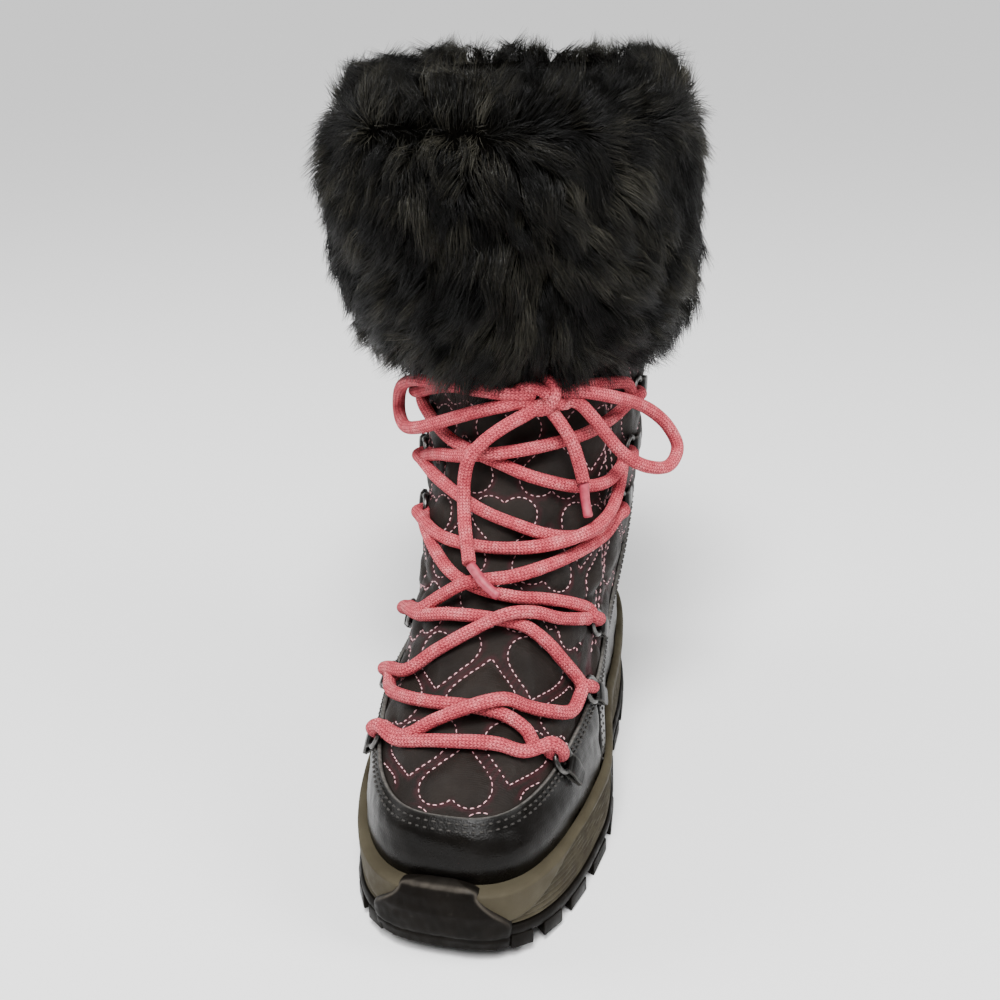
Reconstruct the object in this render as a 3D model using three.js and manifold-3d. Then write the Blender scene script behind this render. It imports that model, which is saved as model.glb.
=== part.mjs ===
// Snow boot for the right foot: a quilted fabric upper on a last, with a leather toe rand and heel
// counter, a rubber outsole with a toe bumper, a ribbed foam midsole, a deep fur cuff, and a round
// lace that runs through six pairs of wire rings to a bow.
// Millimetres. The toe points along -Y, the inner side of the foot is +X, and Z is up from the floor.
import * as THREE from "three";
import Module from "manifold-3d";
import { mergeVertices } from "three/addons/utils/BufferGeometryUtils.js";

const wasm = await Module();
wasm.setup();
const { PI, abs, sin, cos, min, max, sign, floor, atan2 } = Math;

// Driving sizes of the boot
const LAST_LENGTH = 249; // toe tip to heel back of the upper
const SOLE_LENGTH = 264;
const BALL_WIDTH = 105.5; // outsole, at the ball of the foot
const SHAFT_TOP = 285; // height of the collar edge of the fabric
const WALL = 3; // quilted fabric, its wadding and lining
const LEATHER = 1.7; // rand and counter
const GAP = 0.3; // between pieces that lie on each other
const LACE_RADIUS = 2.7;
const TIP_RADIUS = 1.9; // of the lace ends
const AROUND = 32; // facets round the upper
const TOE_TIP = -LAST_LENGTH / 2;
const HEEL_BACK = LAST_LENGTH / 2;

// Sections of the upper, from the feather edge to the collar. front and back say how far inside the
// toe tip and the heel back the section stands, and how high. fore, waist and heel are half widths,
// toeIn moves the toe end inwards, lean moves the section outwards, blunt squares its ends, and floor
// is how far it follows the toe spring and the arch.
const SECTIONS = [
  { front: 6.5, frontUp: 21, back: 5.5, backUp: 27, fore: 45, waist: 35, heel: 33, toeIn: 5, lean: 0, blunt: 0.62, floor: 1 },
  { front: 1.5, frontUp: 30, back: 1.5, backUp: 38, fore: 46.5, waist: 36.5, heel: 35, toeIn: 5, lean: 0, blunt: 0.62, floor: 0.8 },
  { front: 0, frontUp: 39.5, back: 0, backUp: 49.5, fore: 46.5, waist: 36.5, heel: 35.5, toeIn: 6, lean: 0, blunt: 0.6, floor: 0.5 },
  { front: 3.5, frontUp: 48.5, back: 0.5, backUp: 60.5, fore: 45.5, waist: 36, heel: 35.5, toeIn: 5, lean: 0, blunt: 0.65, floor: 0.3 },
  { front: 13, frontUp: 57, back: 2, backUp: 71, fore: 44, waist: 36, heel: 35.5, toeIn: 4.5, lean: 0, blunt: 0.69, floor: 0.1 },
  { front: 29, frontUp: 66, back: 4, backUp: 81, fore: 42, waist: 38, heel: 38, toeIn: 3.5, lean: 0, blunt: 0.73, floor: 0 },
  { front: 47, frontUp: 76, back: 6, backUp: 91.5, fore: 41, waist: 39.5, heel: 39.5, toeIn: 2, lean: 0, blunt: 0.77, floor: 0 },
  { front: 65, frontUp: 88, back: 8, backUp: 102, fore: 41, waist: 41, heel: 41.5, toeIn: 1, lean: 0, blunt: 0.81, floor: 0 },
  { front: 82, frontUp: 102.5, back: 9.5, backUp: 113.5, fore: 42, waist: 43, heel: 43.5, toeIn: 0, lean: 0, blunt: 0.86, floor: 0 },
  { front: 96.5, frontUp: 120, back: 10, backUp: 127, fore: 43.5, waist: 44.5, heel: 45, toeIn: 0, lean: 0, blunt: 0.9, floor: 0 },
  { front: 107.5, frontUp: 140, back: 10, backUp: 143, fore: 45, waist: 46, heel: 46, toeIn: 0, lean: 0.5, blunt: 0.94, floor: 0 },
  { front: 114.5, frontUp: 161, back: 9, backUp: 162, fore: 46.5, waist: 47, heel: 47, toeIn: 0, lean: 1, blunt: 0.97, floor: 0 },
  { front: 118, frontUp: 185, back: 8, backUp: 185, fore: 47.5, waist: 47.5, heel: 47.5, toeIn: 0, lean: 1.5, blunt: 1, floor: 0 },
  { front: 118, frontUp: 208, back: 6, backUp: 208, fore: 48.5, waist: 48.5, heel: 48.5, toeIn: 0, lean: 2, blunt: 1, floor: 0 },
  { front: 116, frontUp: 233, back: 4, backUp: 233, fore: 50, waist: 50, heel: 50, toeIn: 0, lean: 3, blunt: 1, floor: 0 },
  { front: 114, frontUp: 259, back: 2, backUp: 259, fore: 51, waist: 51, heel: 51, toeIn: 0, lean: 4, blunt: 1, floor: 0 },
  { front: 113, frontUp: SHAFT_TOP, back: 1, backUp: SHAFT_TOP, fore: 52, waist: 52, heel: 52, toeIn: 0, lean: 5, blunt: 1, floor: 0 },
];
const TOP = SECTIONS.length - 1;

// A number from a to b, eased by a Catmull-Rom curve through the rows of a table at place v.
function eased(rows, column, v) {
  const i = min(floor(v), rows.length - 2);
  const f = v - i;
  const at = (k) => rows[min(max(k, 0), rows.length - 1)][column];
  const [a, b, c, d] = [at(i - 1), at(i), at(i + 1), at(i + 2)];
  return b + 0.5 * f * (c - a + f * (2 * a - 5 * b + 4 * c - d + f * (3 * (b - c) + d - a)));
}

// Height of the tread above the floor along the sole, from toe (0) to heel (1): spring, arch and bevel.
function treadRise(t) {
  const spring = 6 * max(0, 1 - t / 0.22) ** 2;
  const arch = t > 0.5 && t < 0.7 ? 2 * sin((PI * (t - 0.5)) / 0.2) ** 2 : 0;
  const bevel = 3.5 * max(0, (t - 0.93) / 0.07) ** 2;
  return spring + arch + bevel;
}

// A half width at place t of a section, through its fore, waist and heel widths.
function halfWidth(fore, waist, heel, t) {
  if (t < 0.3) return fore;
  const [from, to, a, b] = t < 0.6 ? [0.3, 0.6, fore, waist] : [0.6, 0.9, waist, heel];
  const f = min((t - from) / (to - from), 1);
  return a + (b - a) * f * f * (3 - 2 * f);
}

// A point of a closed section at angle turn from its toe end, turning towards the inner side.
function sectionPoint(s, turn) {
  const t = (1 - cos(turn)) / 2;
  const wide = halfWidth(s.fore, s.waist, s.heel, t) * abs(sin(turn)) ** s.blunt;
  const middle = s.toeIn * max(0, 1 - t / 0.55) ** 2 - s.lean;
  const level = s.frontUp + (s.backUp - s.frontUp) * t;
  const follow = treadRise(t) - treadRise(0) * (1 - t) - treadRise(1) * t;
  return new THREE.Vector3(
    middle + sign(sin(turn)) * wide,
    s.frontY + (s.backY - s.frontY) * t,
    level + s.floor * follow,
  );
}

// The upper's outer face: v counts sections upwards, turn goes round from the toe, out is an offset.
function upperSection(v) {
  const s = {};
  for (const column of Object.keys(SECTIONS[0])) s[column] = eased(SECTIONS, column, v);
  return { ...s, frontY: TOE_TIP + s.front, backY: HEEL_BACK - s.back };
}
function upperPoint(v, turn, out = 0) {
  const point = sectionPoint(upperSection(v), turn);
  return out === 0 ? point : point.addScaledVector(upperNormal(v, turn), out);
}
function upperNormal(v, turn) {
  const [dv, du] = [0.2, 0.12];
  const round = sectionPoint(upperSection(v), turn + du).sub(sectionPoint(upperSection(v), turn - du));
  const low = upperSection(max(v - dv, 0));
  const high = upperSection(min(v + dv, TOP));
  const up = sectionPoint(high, turn).sub(sectionPoint(low, turn));
  return round.cross(up).normalize();
}

// Geometry from rows of points: a closed skin from points[][] with the faces listed by index.
function meshOf(points, faces) {
  const geometry = new THREE.BufferGeometry().setFromPoints(points);
  geometry.setIndex(faces.flat());
  return geometry;
}
function turns(count) {
  return Array.from({ length: count }, (_, j) => (2 * PI * j) / count);
}

// A filled form through closed rows, capped straight across at both ends.
function filled(rows) {
  const n = rows[0].length;
  const faces = [];
  rows.slice(1).forEach((_, i) => {
    for (let j = 0; j < n; j++) {
      const [a, b] = [i * n + j, i * n + ((j + 1) % n)];
      faces.push([a, b, b + n], [a, b + n, a + n]);
    }
  });
  const last = (rows.length - 1) * n;
  for (let j = 0; j < n / 2; j++) {
    const [a, b] = [j, j + 1];
    const [c, d] = [(n - a) % n, (n - b) % n];
    for (const [p, q, r] of [[a, c, b], [b, c, d]]) {
      if (p === q || q === r || p === r) continue;
      faces.push([p, q, r], [last + p, last + r, last + q]);
    }
  }
  return meshOf(rows.flat(), faces);
}

// A hollow form: outer rows outside, inner rows inside, joined by a rim at each end.
function hollow(outer, inner) {
  const n = outer[0].length;
  const shift = outer.length * n;
  const faces = [];
  for (let j = 0; j < n; j++) {
    const k = (j + 1) % n;
    for (let i = 0; i < outer.length - 1; i++) {
      const [a, b, c, d] = [i * n + j, i * n + k, (i + 1) * n + k, (i + 1) * n + j];
      faces.push([a, b, c], [a, c, d]);
    }
    for (let i = 0; i < inner.length - 1; i++) {
      const [a, b, c, d] = [i * n + j, i * n + k, (i + 1) * n + k, (i + 1) * n + j].map((at) => shift + at);
      faces.push([a, c, b], [a, d, c]);
    }
    faces.push([j, shift + j, shift + k], [j, shift + k, k]);
    const [a, b] = [(outer.length - 1) * n + j, (outer.length - 1) * n + k];
    const [c, d] = [shift + (inner.length - 1) * n + k, shift + (inner.length - 1) * n + j];
    faces.push([a, b, c], [a, c, d]);
  }
  return meshOf([...outer.flat(), ...inner.flat()], faces);
}

// An open patch of the upper's form given thickness: at(a, b, out) with a and b from 0 to 1.
function patch(at, across, upwards, low, high) {
  const points = [];
  for (const out of [high, low])
    for (let i = 0; i <= upwards; i++)
      for (let j = 0; j <= across; j++) points.push(at(j / across, i / upwards, out));
  const n = across + 1;
  const shift = n * (upwards + 1);
  const faces = [];
  for (let i = 0; i < upwards; i++)
    for (let j = 0; j < across; j++) {
      const [a, b, c, d] = [i * n + j, i * n + j + 1, (i + 1) * n + j + 1, (i + 1) * n + j];
      faces.push([a, b, c], [a, c, d]);
      faces.push([shift + a, shift + c, shift + b], [shift + a, shift + d, shift + c]);
    }
  const edge = [];
  for (let j = 0; j < across; j++) edge.push(j);
  for (let i = 0; i < upwards; i++) edge.push(i * n + across);
  for (let j = across; j > 0; j--) edge.push(upwards * n + j);
  for (let i = upwards; i > 0; i--) edge.push(i * n);
  edge.forEach((a, k) => {
    const b = edge[(k + 1) % edge.length];
    faces.push([a, shift + a, shift + b], [a, shift + b, b]);
  });
  return meshOf(points, faces);
}

// Solids for cutting and joining
function solid(geometry) {
  const bare = new THREE.BufferGeometry();
  bare.setAttribute("position", geometry.getAttribute("position"));
  bare.setIndex(geometry.index);
  const merged = mergeVertices(bare, 1e-4);
  const vertProperties = merged.getAttribute("position").array;
  const triVerts = new Uint32Array(merged.index.array);
  return new wasm.Manifold(new wasm.Mesh({ numProp: 3, vertProperties, triVerts }));
}
function geometryOf(form) {
  const mesh = form.getMesh();
  const positions = new THREE.BufferAttribute(new Float32Array(mesh.vertProperties), 3);
  const geometry = new THREE.BufferGeometry().setAttribute("position", positions);
  return geometry.setIndex(new THREE.BufferAttribute(new Uint32Array(mesh.triVerts), 1));
}
const joined = (forms) => forms.reduce((a, b) => a.add(b));

const boot = new THREE.Group();
const MATERIALS = {
  rubber: { color: 0x1c1a18, roughness: 0.7 },
  foam: { color: 0x5b5645, roughness: 0.8 },
  fabric: { color: 0x1a1718, roughness: 0.6 },
  leather: { color: 0x0c0b0b, roughness: 0.3 },
  fur: { color: 0x0a0a09, roughness: 0.8 },
  lace: { color: 0xc04a62, roughness: 0.8 },
  wire: { color: 0x4a4a4a, roughness: 0.35, metalness: 0.9 },
  felt: { color: 0x2a2828, roughness: 0.95 },
};
function add(name, material, geometry, into = boot) {
  const mesh = new THREE.Mesh(geometry, new THREE.MeshStandardMaterial(MATERIALS[material]));
  mesh.name = name;
  into.add(mesh);
  return mesh;
}

// Upper: one hollow wall from the feather edge to the collar, open underneath and at the top
function upperRows(out, lastRow = TOP, step = 1) {
  const rows = [];
  for (let v = 0; v <= lastRow; v += step) {
    rows.push(turns(AROUND).map((turn) => {
      const point = upperPoint(v, turn, out);
      if (v === 0 || v === TOP) point.z = upperPoint(v, turn).z;
      return point;
    }));
  }
  return rows;
}
add("upper", "fabric", hollow(upperRows(0), upperRows(-WALL, TOP, 2)));

// Toe rand and heel counter: leather cut between two larger forms of the upper
const RAND_SIDE = 1.22; // angle from the toe where the rand meets the counter
const SEAM = 0.004; // half the gap between the two leathers, as an angle
const RAND_HIGH = 3.4; // sections up to the rand's edge
const COUNTER_HIGH = 4.6; // further sections up to the counter's top
const smooth = (share) => min(max(share, 0), 1) ** 2 * (3 - 2 * min(max(share, 0), 1));
function randTop(turn) {
  return RAND_HIGH + min(abs(turn) / RAND_SIDE, 1) ** 2;
}
function counterTop(turn) {
  const beyond = min(turn, 2 * PI - turn) - RAND_SIDE;
  return randTop(RAND_SIDE) + COUNTER_HIGH * smooth(beyond / 1.2) + 0.6 * smooth((beyond - 1.2) / 0.7);
}
function leather(fromTurn, toTurn, topOf, across, topRow) {
  const region = (a, b, out) => {
    const turn = fromTurn + (toTurn - fromTurn) * a;
    const point = upperPoint(b * topOf(turn), turn, out);
    if (b === 0) point.z -= 8;
    return point;
  };
  const shell = solid(hollow(upperRows(GAP + LEATHER, topRow), upperRows(GAP, topRow)));
  return geometryOf(shell.intersect(solid(patch(region, across, 4, -2, 5))));
}
add("toe_rand", "leather", leather(-RAND_SIDE + SEAM, RAND_SIDE - SEAM, randTop, 20, 6));
add("heel_counter", "leather", leather(RAND_SIDE + SEAM, 2 * PI - RAND_SIDE - SEAM, counterTop, 26, 11));

// Sole: rows of its outline, standing out from it or inside it, at a height that follows the tread
const SOLE_TOE = -SOLE_LENGTH / 2;
const SOLE = { fore: BALL_WIDTH / 2, waist: 42, heel: 41.5, toeIn: 6, lean: 0, blunt: 0.6, frontUp: 0, backUp: 0, floor: 0 };
const SOLE_AROUND = 32;
const LUG_DEEP = 5;
const OUTSOLE_TOP = 9.5; // above the tread line
const CUP_TOE = 29; // height of the midsole's edge above the floor at the toe, and at the heel
const CUP_HEEL = 42;
function solePoint(out, turn) {
  const [fore, waist, heel] = [SOLE.fore + out, SOLE.waist + out, SOLE.heel + out];
  return sectionPoint({ ...SOLE, fore, waist, heel, frontY: SOLE_TOE - out, backY: -SOLE_TOE + out }, turn);
}
function soleRow(out, level) {
  return turns(SOLE_AROUND).map((turn) => {
    const point = solePoint(out, turn);
    return point.setZ(level((1 - cos(turn)) / 2));
  });
}
const aboveTread = (height) => (t) => treadRise(t) + height;
function cupEdge(t) {
  return CUP_TOE + (CUP_HEEL - CUP_TOE) * t;
}

// Midsole: a foam cup with ribs low on its side, a step above them, and the upper's seat cut out
const RIBS = 3;
const RIB_RISE = 2.3;
const RIB_DEEP = 0.8;
function midsole(bumperRoom) {
  const rows = [];
  for (let i = 0; i < RIBS; i++) {
    const low = OUTSOLE_TOP + GAP + RIB_RISE * i;
    rows.push(soleRow(0, aboveTread(low)), soleRow(0, aboveTread(low + 1.4)));
    if (i < RIBS - 1) rows.push(soleRow(-RIB_DEEP, aboveTread(low + 1.6)), soleRow(-RIB_DEEP, aboveTread(low + 2.1)));
  }
  const step = OUTSOLE_TOP + RIB_RISE * RIBS;
  rows.push(soleRow(-1.4, aboveTread(step)));
  rows.push(soleRow(-0.5, (t) => (cupEdge(t) + treadRise(t) + step) / 2));
  rows.push(soleRow(-1.1, cupEdge));
  const seatRows = upperRows(GAP + LEATHER + GAP, 4);
  seatRows[0].forEach((point) => point.setZ(point.z - GAP));
  return geometryOf(solid(filled(rows)).subtract(solid(filled(seatRows))).subtract(bumperRoom));
}

// Outsole: a rubber sheet on lugs, with the toe bumper moulded on
const BUMPER = { middle: 4, low: 27, high: 16, shoulder: 15, crest: 31 };
function bumperPrism(grow) {
  const { middle, low, high, shoulder, crest } = BUMPER;
  const corner = (way, width, height) => [middle + way * (width + grow), height + grow];
  const shape = new THREE.Shape();
  shape.moveTo(...corner(-1, low, 6));
  shape.lineTo(...corner(1, low, 6));
  shape.lineTo(...corner(1, low, shoulder));
  shape.quadraticCurveTo(...corner(1, high + 4, shoulder + 4), ...corner(1, high, crest - 2));
  shape.quadraticCurveTo(middle, crest + grow + 1, ...corner(-1, high, crest - 2));
  shape.quadraticCurveTo(...corner(-1, high + 4, shoulder + 4), ...corner(-1, low, shoulder));
  const geometry = new THREE.ExtrudeGeometry(shape, { depth: 60, bevelEnabled: false, curveSegments: 5 });
  geometry.rotateX(PI / 2).translate(0, SOLE_TOE + 45, 0);
  return solid(geometry);
}
const BUMPER_ROWS = [
  { height: 7, out: 0.2 },
  { height: 13, out: 1.2 },
  { height: 21, out: 1.7 },
  { height: 27, out: 0.6 },
  { height: 33, out: -2.4 },
  { height: 38, out: -6 },
];
function bumperForm() {
  return solid(filled(BUMPER_ROWS.map(({ height, out }) => soleRow(out, () => height))));
}
function seat(out, lastRow) {
  const rows = upperRows(out, lastRow);
  rows.unshift(rows[0].map((point) => point.clone().setZ(0)));
  return solid(filled(rows));
}
function block(corners, low, high) {
  const row = (height) => corners.map(([x, y]) => {
    const t = min(max((y - SOLE_TOE) / SOLE_LENGTH, 0), 1);
    return new THREE.Vector3(x, y, treadRise(t) + height);
  });
  return solid(filled([row(low), row(high)]));
}
const EDGE_LUGS = 26;
const LUG_IN = 14; // how far an edge lug reaches in from the edge
function edgeLugs() {
  return Array.from({ length: EDGE_LUGS }, (_, i) => {
    const [a, b] = [0.17, 0.83].map((share) => (2 * PI * (i + share)) / EDGE_LUGS);
    const corners = [[0.6, a], [0.6, b], [-LUG_IN, b], [-LUG_IN, a]].map(([out, turn]) => solePoint(out, turn));
    return block(corners.map((p) => [p.x, p.y]), 0, LUG_DEEP + 1);
  });
}
// Middle lugs: rows of two across the ball and the heel, each pointing forwards like an arrow.
const MIDDLE_LUGS = [
  { at: -96, count: 5, pitch: 20, half: 24 },
  { at: 58, count: 3, pitch: 20, half: 17 },
];
function middleLugs() {
  return MIDDLE_LUGS.flatMap(({ at, count, pitch, half }) => Array.from({ length: count }, (_, i) => {
    const y = at + pitch * i;
    return block([[-half, y + 4], [0, y - 4], [half, y + 4], [half, y + 13], [0, y + 5], [-half, y + 13]],
      0, LUG_DEEP + 1);
  }));
}
function outsole() {
  const sheet = solid(filled([
    soleRow(-1.2, aboveTread(LUG_DEEP)), soleRow(0, aboveTread(LUG_DEEP + 1.2)), soleRow(0, aboveTread(OUTSOLE_TOP)),
  ]));
  const room = seat(GAP + LEATHER + GAP, 5);
  const bumper = bumperForm().intersect(bumperPrism(0)).subtract(room);
  return geometryOf(joined([sheet, bumper, ...edgeLugs(), ...middleLugs()]));
}
add("outsole", "rubber", outsole());
add("midsole", "foam", midsole(bumperPrism(GAP)));

// Insole: a felt bed inside the upper, on the midsole
const INSOLE_THICK = 5;
function insole() {
  const row = (rise) => turns(AROUND).map((turn) => {
    const point = upperPoint(0, turn, -WALL - 0.8);
    return point.setZ(upperPoint(0, turn).z + rise);
  });
  return filled([row(0), row(INSOLE_THICK)]);
}
add("insole", "felt", insole());

// Fur cuff: a deep ring round the collar that folds over its edge, with locks fused on
const CUFF_LOW = 12.25; // section where the fur begins
const CUFF_PROFILE = [
  { v: CUFF_LOW, out: 0.5, up: 0 },
  { v: CUFF_LOW, out: 12, up: -4 },
  { v: CUFF_LOW, out: 20, up: 8 },
  { v: 14, out: 25, up: -8 },
  { v: 15, out: 26, up: -2 },
  { v: 16, out: 23, up: -6 },
  { v: 16, out: 14, up: 11 },
  { v: 16, out: 3, up: 16 },
  { v: 16, out: -7, up: 9 },
  { v: 16, out: -3, up: 0.5 },
  { v: 16, out: 0.5, up: 0.5 },
  { v: 15, out: 0.5, up: 0 },
  { v: 14, out: 0.5, up: 0 },
  { v: 13, out: 0.5, up: 0 },
];
// The fur stands further out on the outer side of the leg than on the inner side.
function furPoint(v, turn, out, up) {
  const full = out > 1 ? out * (1 - 0.32 * sin(turn) + 0.05 * cos(3 * turn)) : out;
  const point = upperPoint(v, turn, full);
  return point.setZ(upperPoint(v, turn).z + up);
}
function ringOf(rows) {
  const n = rows[0].length;
  const faces = rows.flatMap((_, i) => rows[0].flatMap((_, j) => {
    const [k, next] = [(j + 1) % n, (i + 1) % rows.length];
    return [[i * n + j, i * n + k, next * n + k], [i * n + j, next * n + k, next * n + j]];
  }));
  return meshOf(rows.flat(), faces);
}
const LOCK_ROWS = [
  { v: 12.6, out: 17, count: 11 },
  { v: 13.6, out: 23, count: 10 },
  { v: 14.7, out: 25, count: 11 },
  { v: 15.6, out: 24, count: 10 },
];
// A lock is a bent three-sided spike: it leaves the ring outwards and turns down.
const LOCK_STEPS = [
  { along: -5, down: -2, half: 9, tip: 0 },
  { along: 3, down: 2, half: 6.5, tip: 0.5 },
  { along: 5.5, down: 12, half: 1, tip: 1.2 },
];
function lock(v, turn, out, size) {
  const outward = upperNormal(v, turn).setZ(0).normalize();
  const side = new THREE.Vector3(0, 0, 1).cross(outward);
  return solid(filled(LOCK_STEPS.map(({ along, down, half, tip }) => {
    const across = new THREE.Vector3(0, 0, cos(tip)).addScaledVector(outward, sin(tip));
    const middle = furPoint(v, turn, out, -down * size).addScaledVector(outward, along * size);
    return [[0.9, 0], [-0.5, -1], [-0.5, 1]].map(([a, b]) => middle.clone()
      .addScaledVector(side, b * half * size).addScaledVector(across, a * half * size));
  })));
}
function furCuff() {
  const ring = solid(ringOf(CUFF_PROFILE.map(({ v, out, up }) => turns(AROUND).map((turn) => furPoint(v, turn, out, up)))));
  const locks = LOCK_ROWS.flatMap(({ v, out, count }, row) => Array.from({ length: count }, (_, i) => {
    const turn = (2 * PI * (i + 0.5 * (row % 2) + 0.2 * sin(5 * i + row))) / count;
    return lock(v + 0.12 * sin(7 * i + 2 * row), turn, out, 1 + 0.15 * sin(3 * i + row));
  }));
  return geometryOf(joined([ring, ...locks]));
}
add("fur_cuff", "fur", furCuff());

// Lace fixings: six pairs of wire rings, each on a leather tab that holds it to the upper. turn is the
// ring's place round the upper, pull the section on the front that its tab points away from.
const WIRE = 2.2;
const RING_RADIUS = 4.9;
const TAB = { long: 8, wide: 8, thick: 1.8 };
const FIXINGS = [
  { v: 3.86, outer: -0.79, inner: 0.77, pull: 5.5, out: 3.1 },
  { v: 4.62, outer: -1.05, inner: 1.1, pull: 6.5, out: 3.1 },
  { v: 6.28, outer: -1.1, inner: 1.17, pull: 8, out: 1.5 },
  { v: 9, outer: -1, inner: 1.28, pull: 9, out: 1.5 },
  { v: 10.15, outer: -1.02, inner: 1.33, pull: 10.2, out: 1.5 },
  { v: 11.3, outer: -1.1, inner: 1.38, pull: 11.5, out: 1.5 },
];
// The frame of a fixing: x points along the surface towards the lacing, z away from the surface.
function fixingFrame(row, side) {
  const { v, pull, out, [side]: turn } = FIXINGS[row - 1];
  const centre = upperPoint(v, turn, out);
  const normal = upperNormal(v, turn);
  const along = upperPoint(pull, 0).sub(centre).projectOnPlane(normal).normalize();
  return new THREE.Matrix4().makeBasis(along, normal.clone().cross(along), normal).setPosition(centre);
}
function fixing(row, side) {
  const place = fixingFrame(row, side);
  const ring = new THREE.TorusGeometry(RING_RADIUS, WIRE / 2, 4, 10);
  const tab = new THREE.BoxGeometry(TAB.long, TAB.wide, TAB.thick);
  tab.translate(-RING_RADIUS - TAB.long / 2 + 2, 0, -0.2);
  return geometryOf(joined([solid(ring.applyMatrix4(place)), solid(tab.applyMatrix4(place))]));
}
for (const side of ["outer", "inner"])
  FIXINGS.forEach((_, i) => add(`ring_${side}_${i + 1}`, "wire", fixing(i + 1, side)));

// Lace: a bar, five crossings and the runs up to the knot, joined where they cross. Each strand runs
// between two fixings over the points of its way, each a section v, a turn and an offset out.
const KNOT = [11.75, 0.32, 9];
const STRANDS = [
  { from: [1, "outer"], to: [1, "inner"], way: [[4.59, -0.46, 4], [5.02, -0.11, 4], [5.05, 0.2, 4], [4.71, 0.42, 4]] },
  { from: [1, "outer"], to: [2, "inner"], way: [
    [4.79, -0.39, 4], [5.42, -0.14, 5], [5.78, 0.1, 9.2], [5.86, 0.25, 8], [5.68, 0.42, 4.5], [5.29, 0.63, 4], [4.83, 0.85, 4]] },
  { from: [1, "inner"], to: [2, "outer"], way: [
    [4.65, 0.53, 4], [5.2, 0.42, 4], [5.65, 0.24, 4], [5.83, 0.04, 4], [5.76, -0.23, 4], [5.48, -0.52, 4], [5.05, -0.8, 4]] },
  { from: [2, "outer"], to: [3, "inner"], way: [
    [6.01, -0.57, 4], [6.81, -0.28, 4], [7.34, -0.02, 5.5], [7.6, 0.18, 9.2], [7.63, 0.37, 7], [7.36, 0.63, 4], [6.98, 0.9, 4]] },
  { from: [2, "inner"], to: [3, "outer"], way: [
    [5.6, 0.88, 4], [6.37, 0.7, 4], [6.93, 0.54, 4], [7.42, 0.33, 4], [7.61, 0.1, 4], [7.58, -0.23, 4], [7.24, -0.57, 4]] },
  { from: [3, "outer"], to: [4, "inner"], way: [
    [7.36, -0.57, 4], [7.89, -0.31, 5], [8.18, -0.09, 9.2], [8.39, 0.18, 7], [8.55, 0.43, 4], [8.65, 0.7, 4], [8.75, 1, 4]] },
  { from: [3, "inner"], to: [4, "outer"], way: [
    [7.09, 0.95, 4], [7.57, 0.73, 4], [7.89, 0.47, 4], [8.02, 0.24, 4], [8.18, -0.04, 4], [8.33, -0.25, 4], [8.6, -0.48, 4]] },
  { from: [4, "outer"], to: [5, "inner"], way: [
    [8.95, -0.5, 4], [8.95, -0.2, 4], [8.95, 0.1, 4], [8.95, 0.38, 6], [9, 0.6, 9.2], [9.15, 0.85, 8], [9.4, 1.05, 5]] },
  { from: [4, "inner"], to: [5, "outer"], way: [
    [8.95, 0.85, 4], [9, 0.65, 4], [9.15, 0.42, 4], [9.4, 0.15, 4], [9.6, -0.08, 4], [9.8, -0.3, 4], [10, -0.6, 4]] },
  { from: [5, "outer"], to: [6, "inner"], way: [
    [10.45, -0.55, 4], [10.55, -0.3, 6], [10.65, -0.1, 9.2], [10.75, 0.12, 7], [10.85, 0.4, 4], [10.95, 0.7, 4], [11.1, 0.95, 4]] },
  { from: [5, "inner"], to: [6, "outer"], way: [
    [9.85, 0.95, 4], [9.95, 0.65, 4], [10.1, 0.45, 4], [10.3, 0.22, 4], [10.5, 0.03, 4], [10.65, -0.15, 4], [10.85, -0.45, 4]] },
  { from: [6, "outer"], way: [[11.6, -0.65, 4], [11.75, -0.4, 4], [11.78, -0.15, 4.5], [11.77, 0.1, 5.5]] },
  { from: [6, "inner"], way: [[11.6, 1.1, 4], [11.72, 0.9, 4], [11.77, 0.72, 4.5], [11.77, 0.54, 5.5]] },
];
const STRAND_STEP = 11;
const wayPoint = ([v, turn, out]) => upperPoint(v, turn, out);
function round(radius, sides) {
  return new THREE.Shape(turns(sides).map((turn) => new THREE.Vector2(radius * cos(turn), radius * sin(turn))));
}
function tube(points, radius, sides, step) {
  const curve = new THREE.CatmullRomCurve3(points);
  const steps = max(2, floor(curve.getLength() / step));
  return new THREE.ExtrudeGeometry(round(radius, sides), { steps, extrudePath: curve, bevelEnabled: false });
}
// A strand turns back this far in front of its ring's centre, clear of the wire.
const TURN_BACK = RING_RADIUS + WIRE / 2 + LACE_RADIUS + 0.4;
function laceStrand({ from, to, way }) {
  const tip = ([row, side]) => new THREE.Vector3(TURN_BACK, 0, 2.3).applyMatrix4(fixingFrame(row, side));
  return solid(tube([tip(from), ...way.map(wayPoint), ...(to ? [tip(to)] : [])], LACE_RADIUS, 5, STRAND_STEP));
}
add("lace", "lace", geometryOf(joined(STRANDS.map(laceStrand))));

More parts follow.
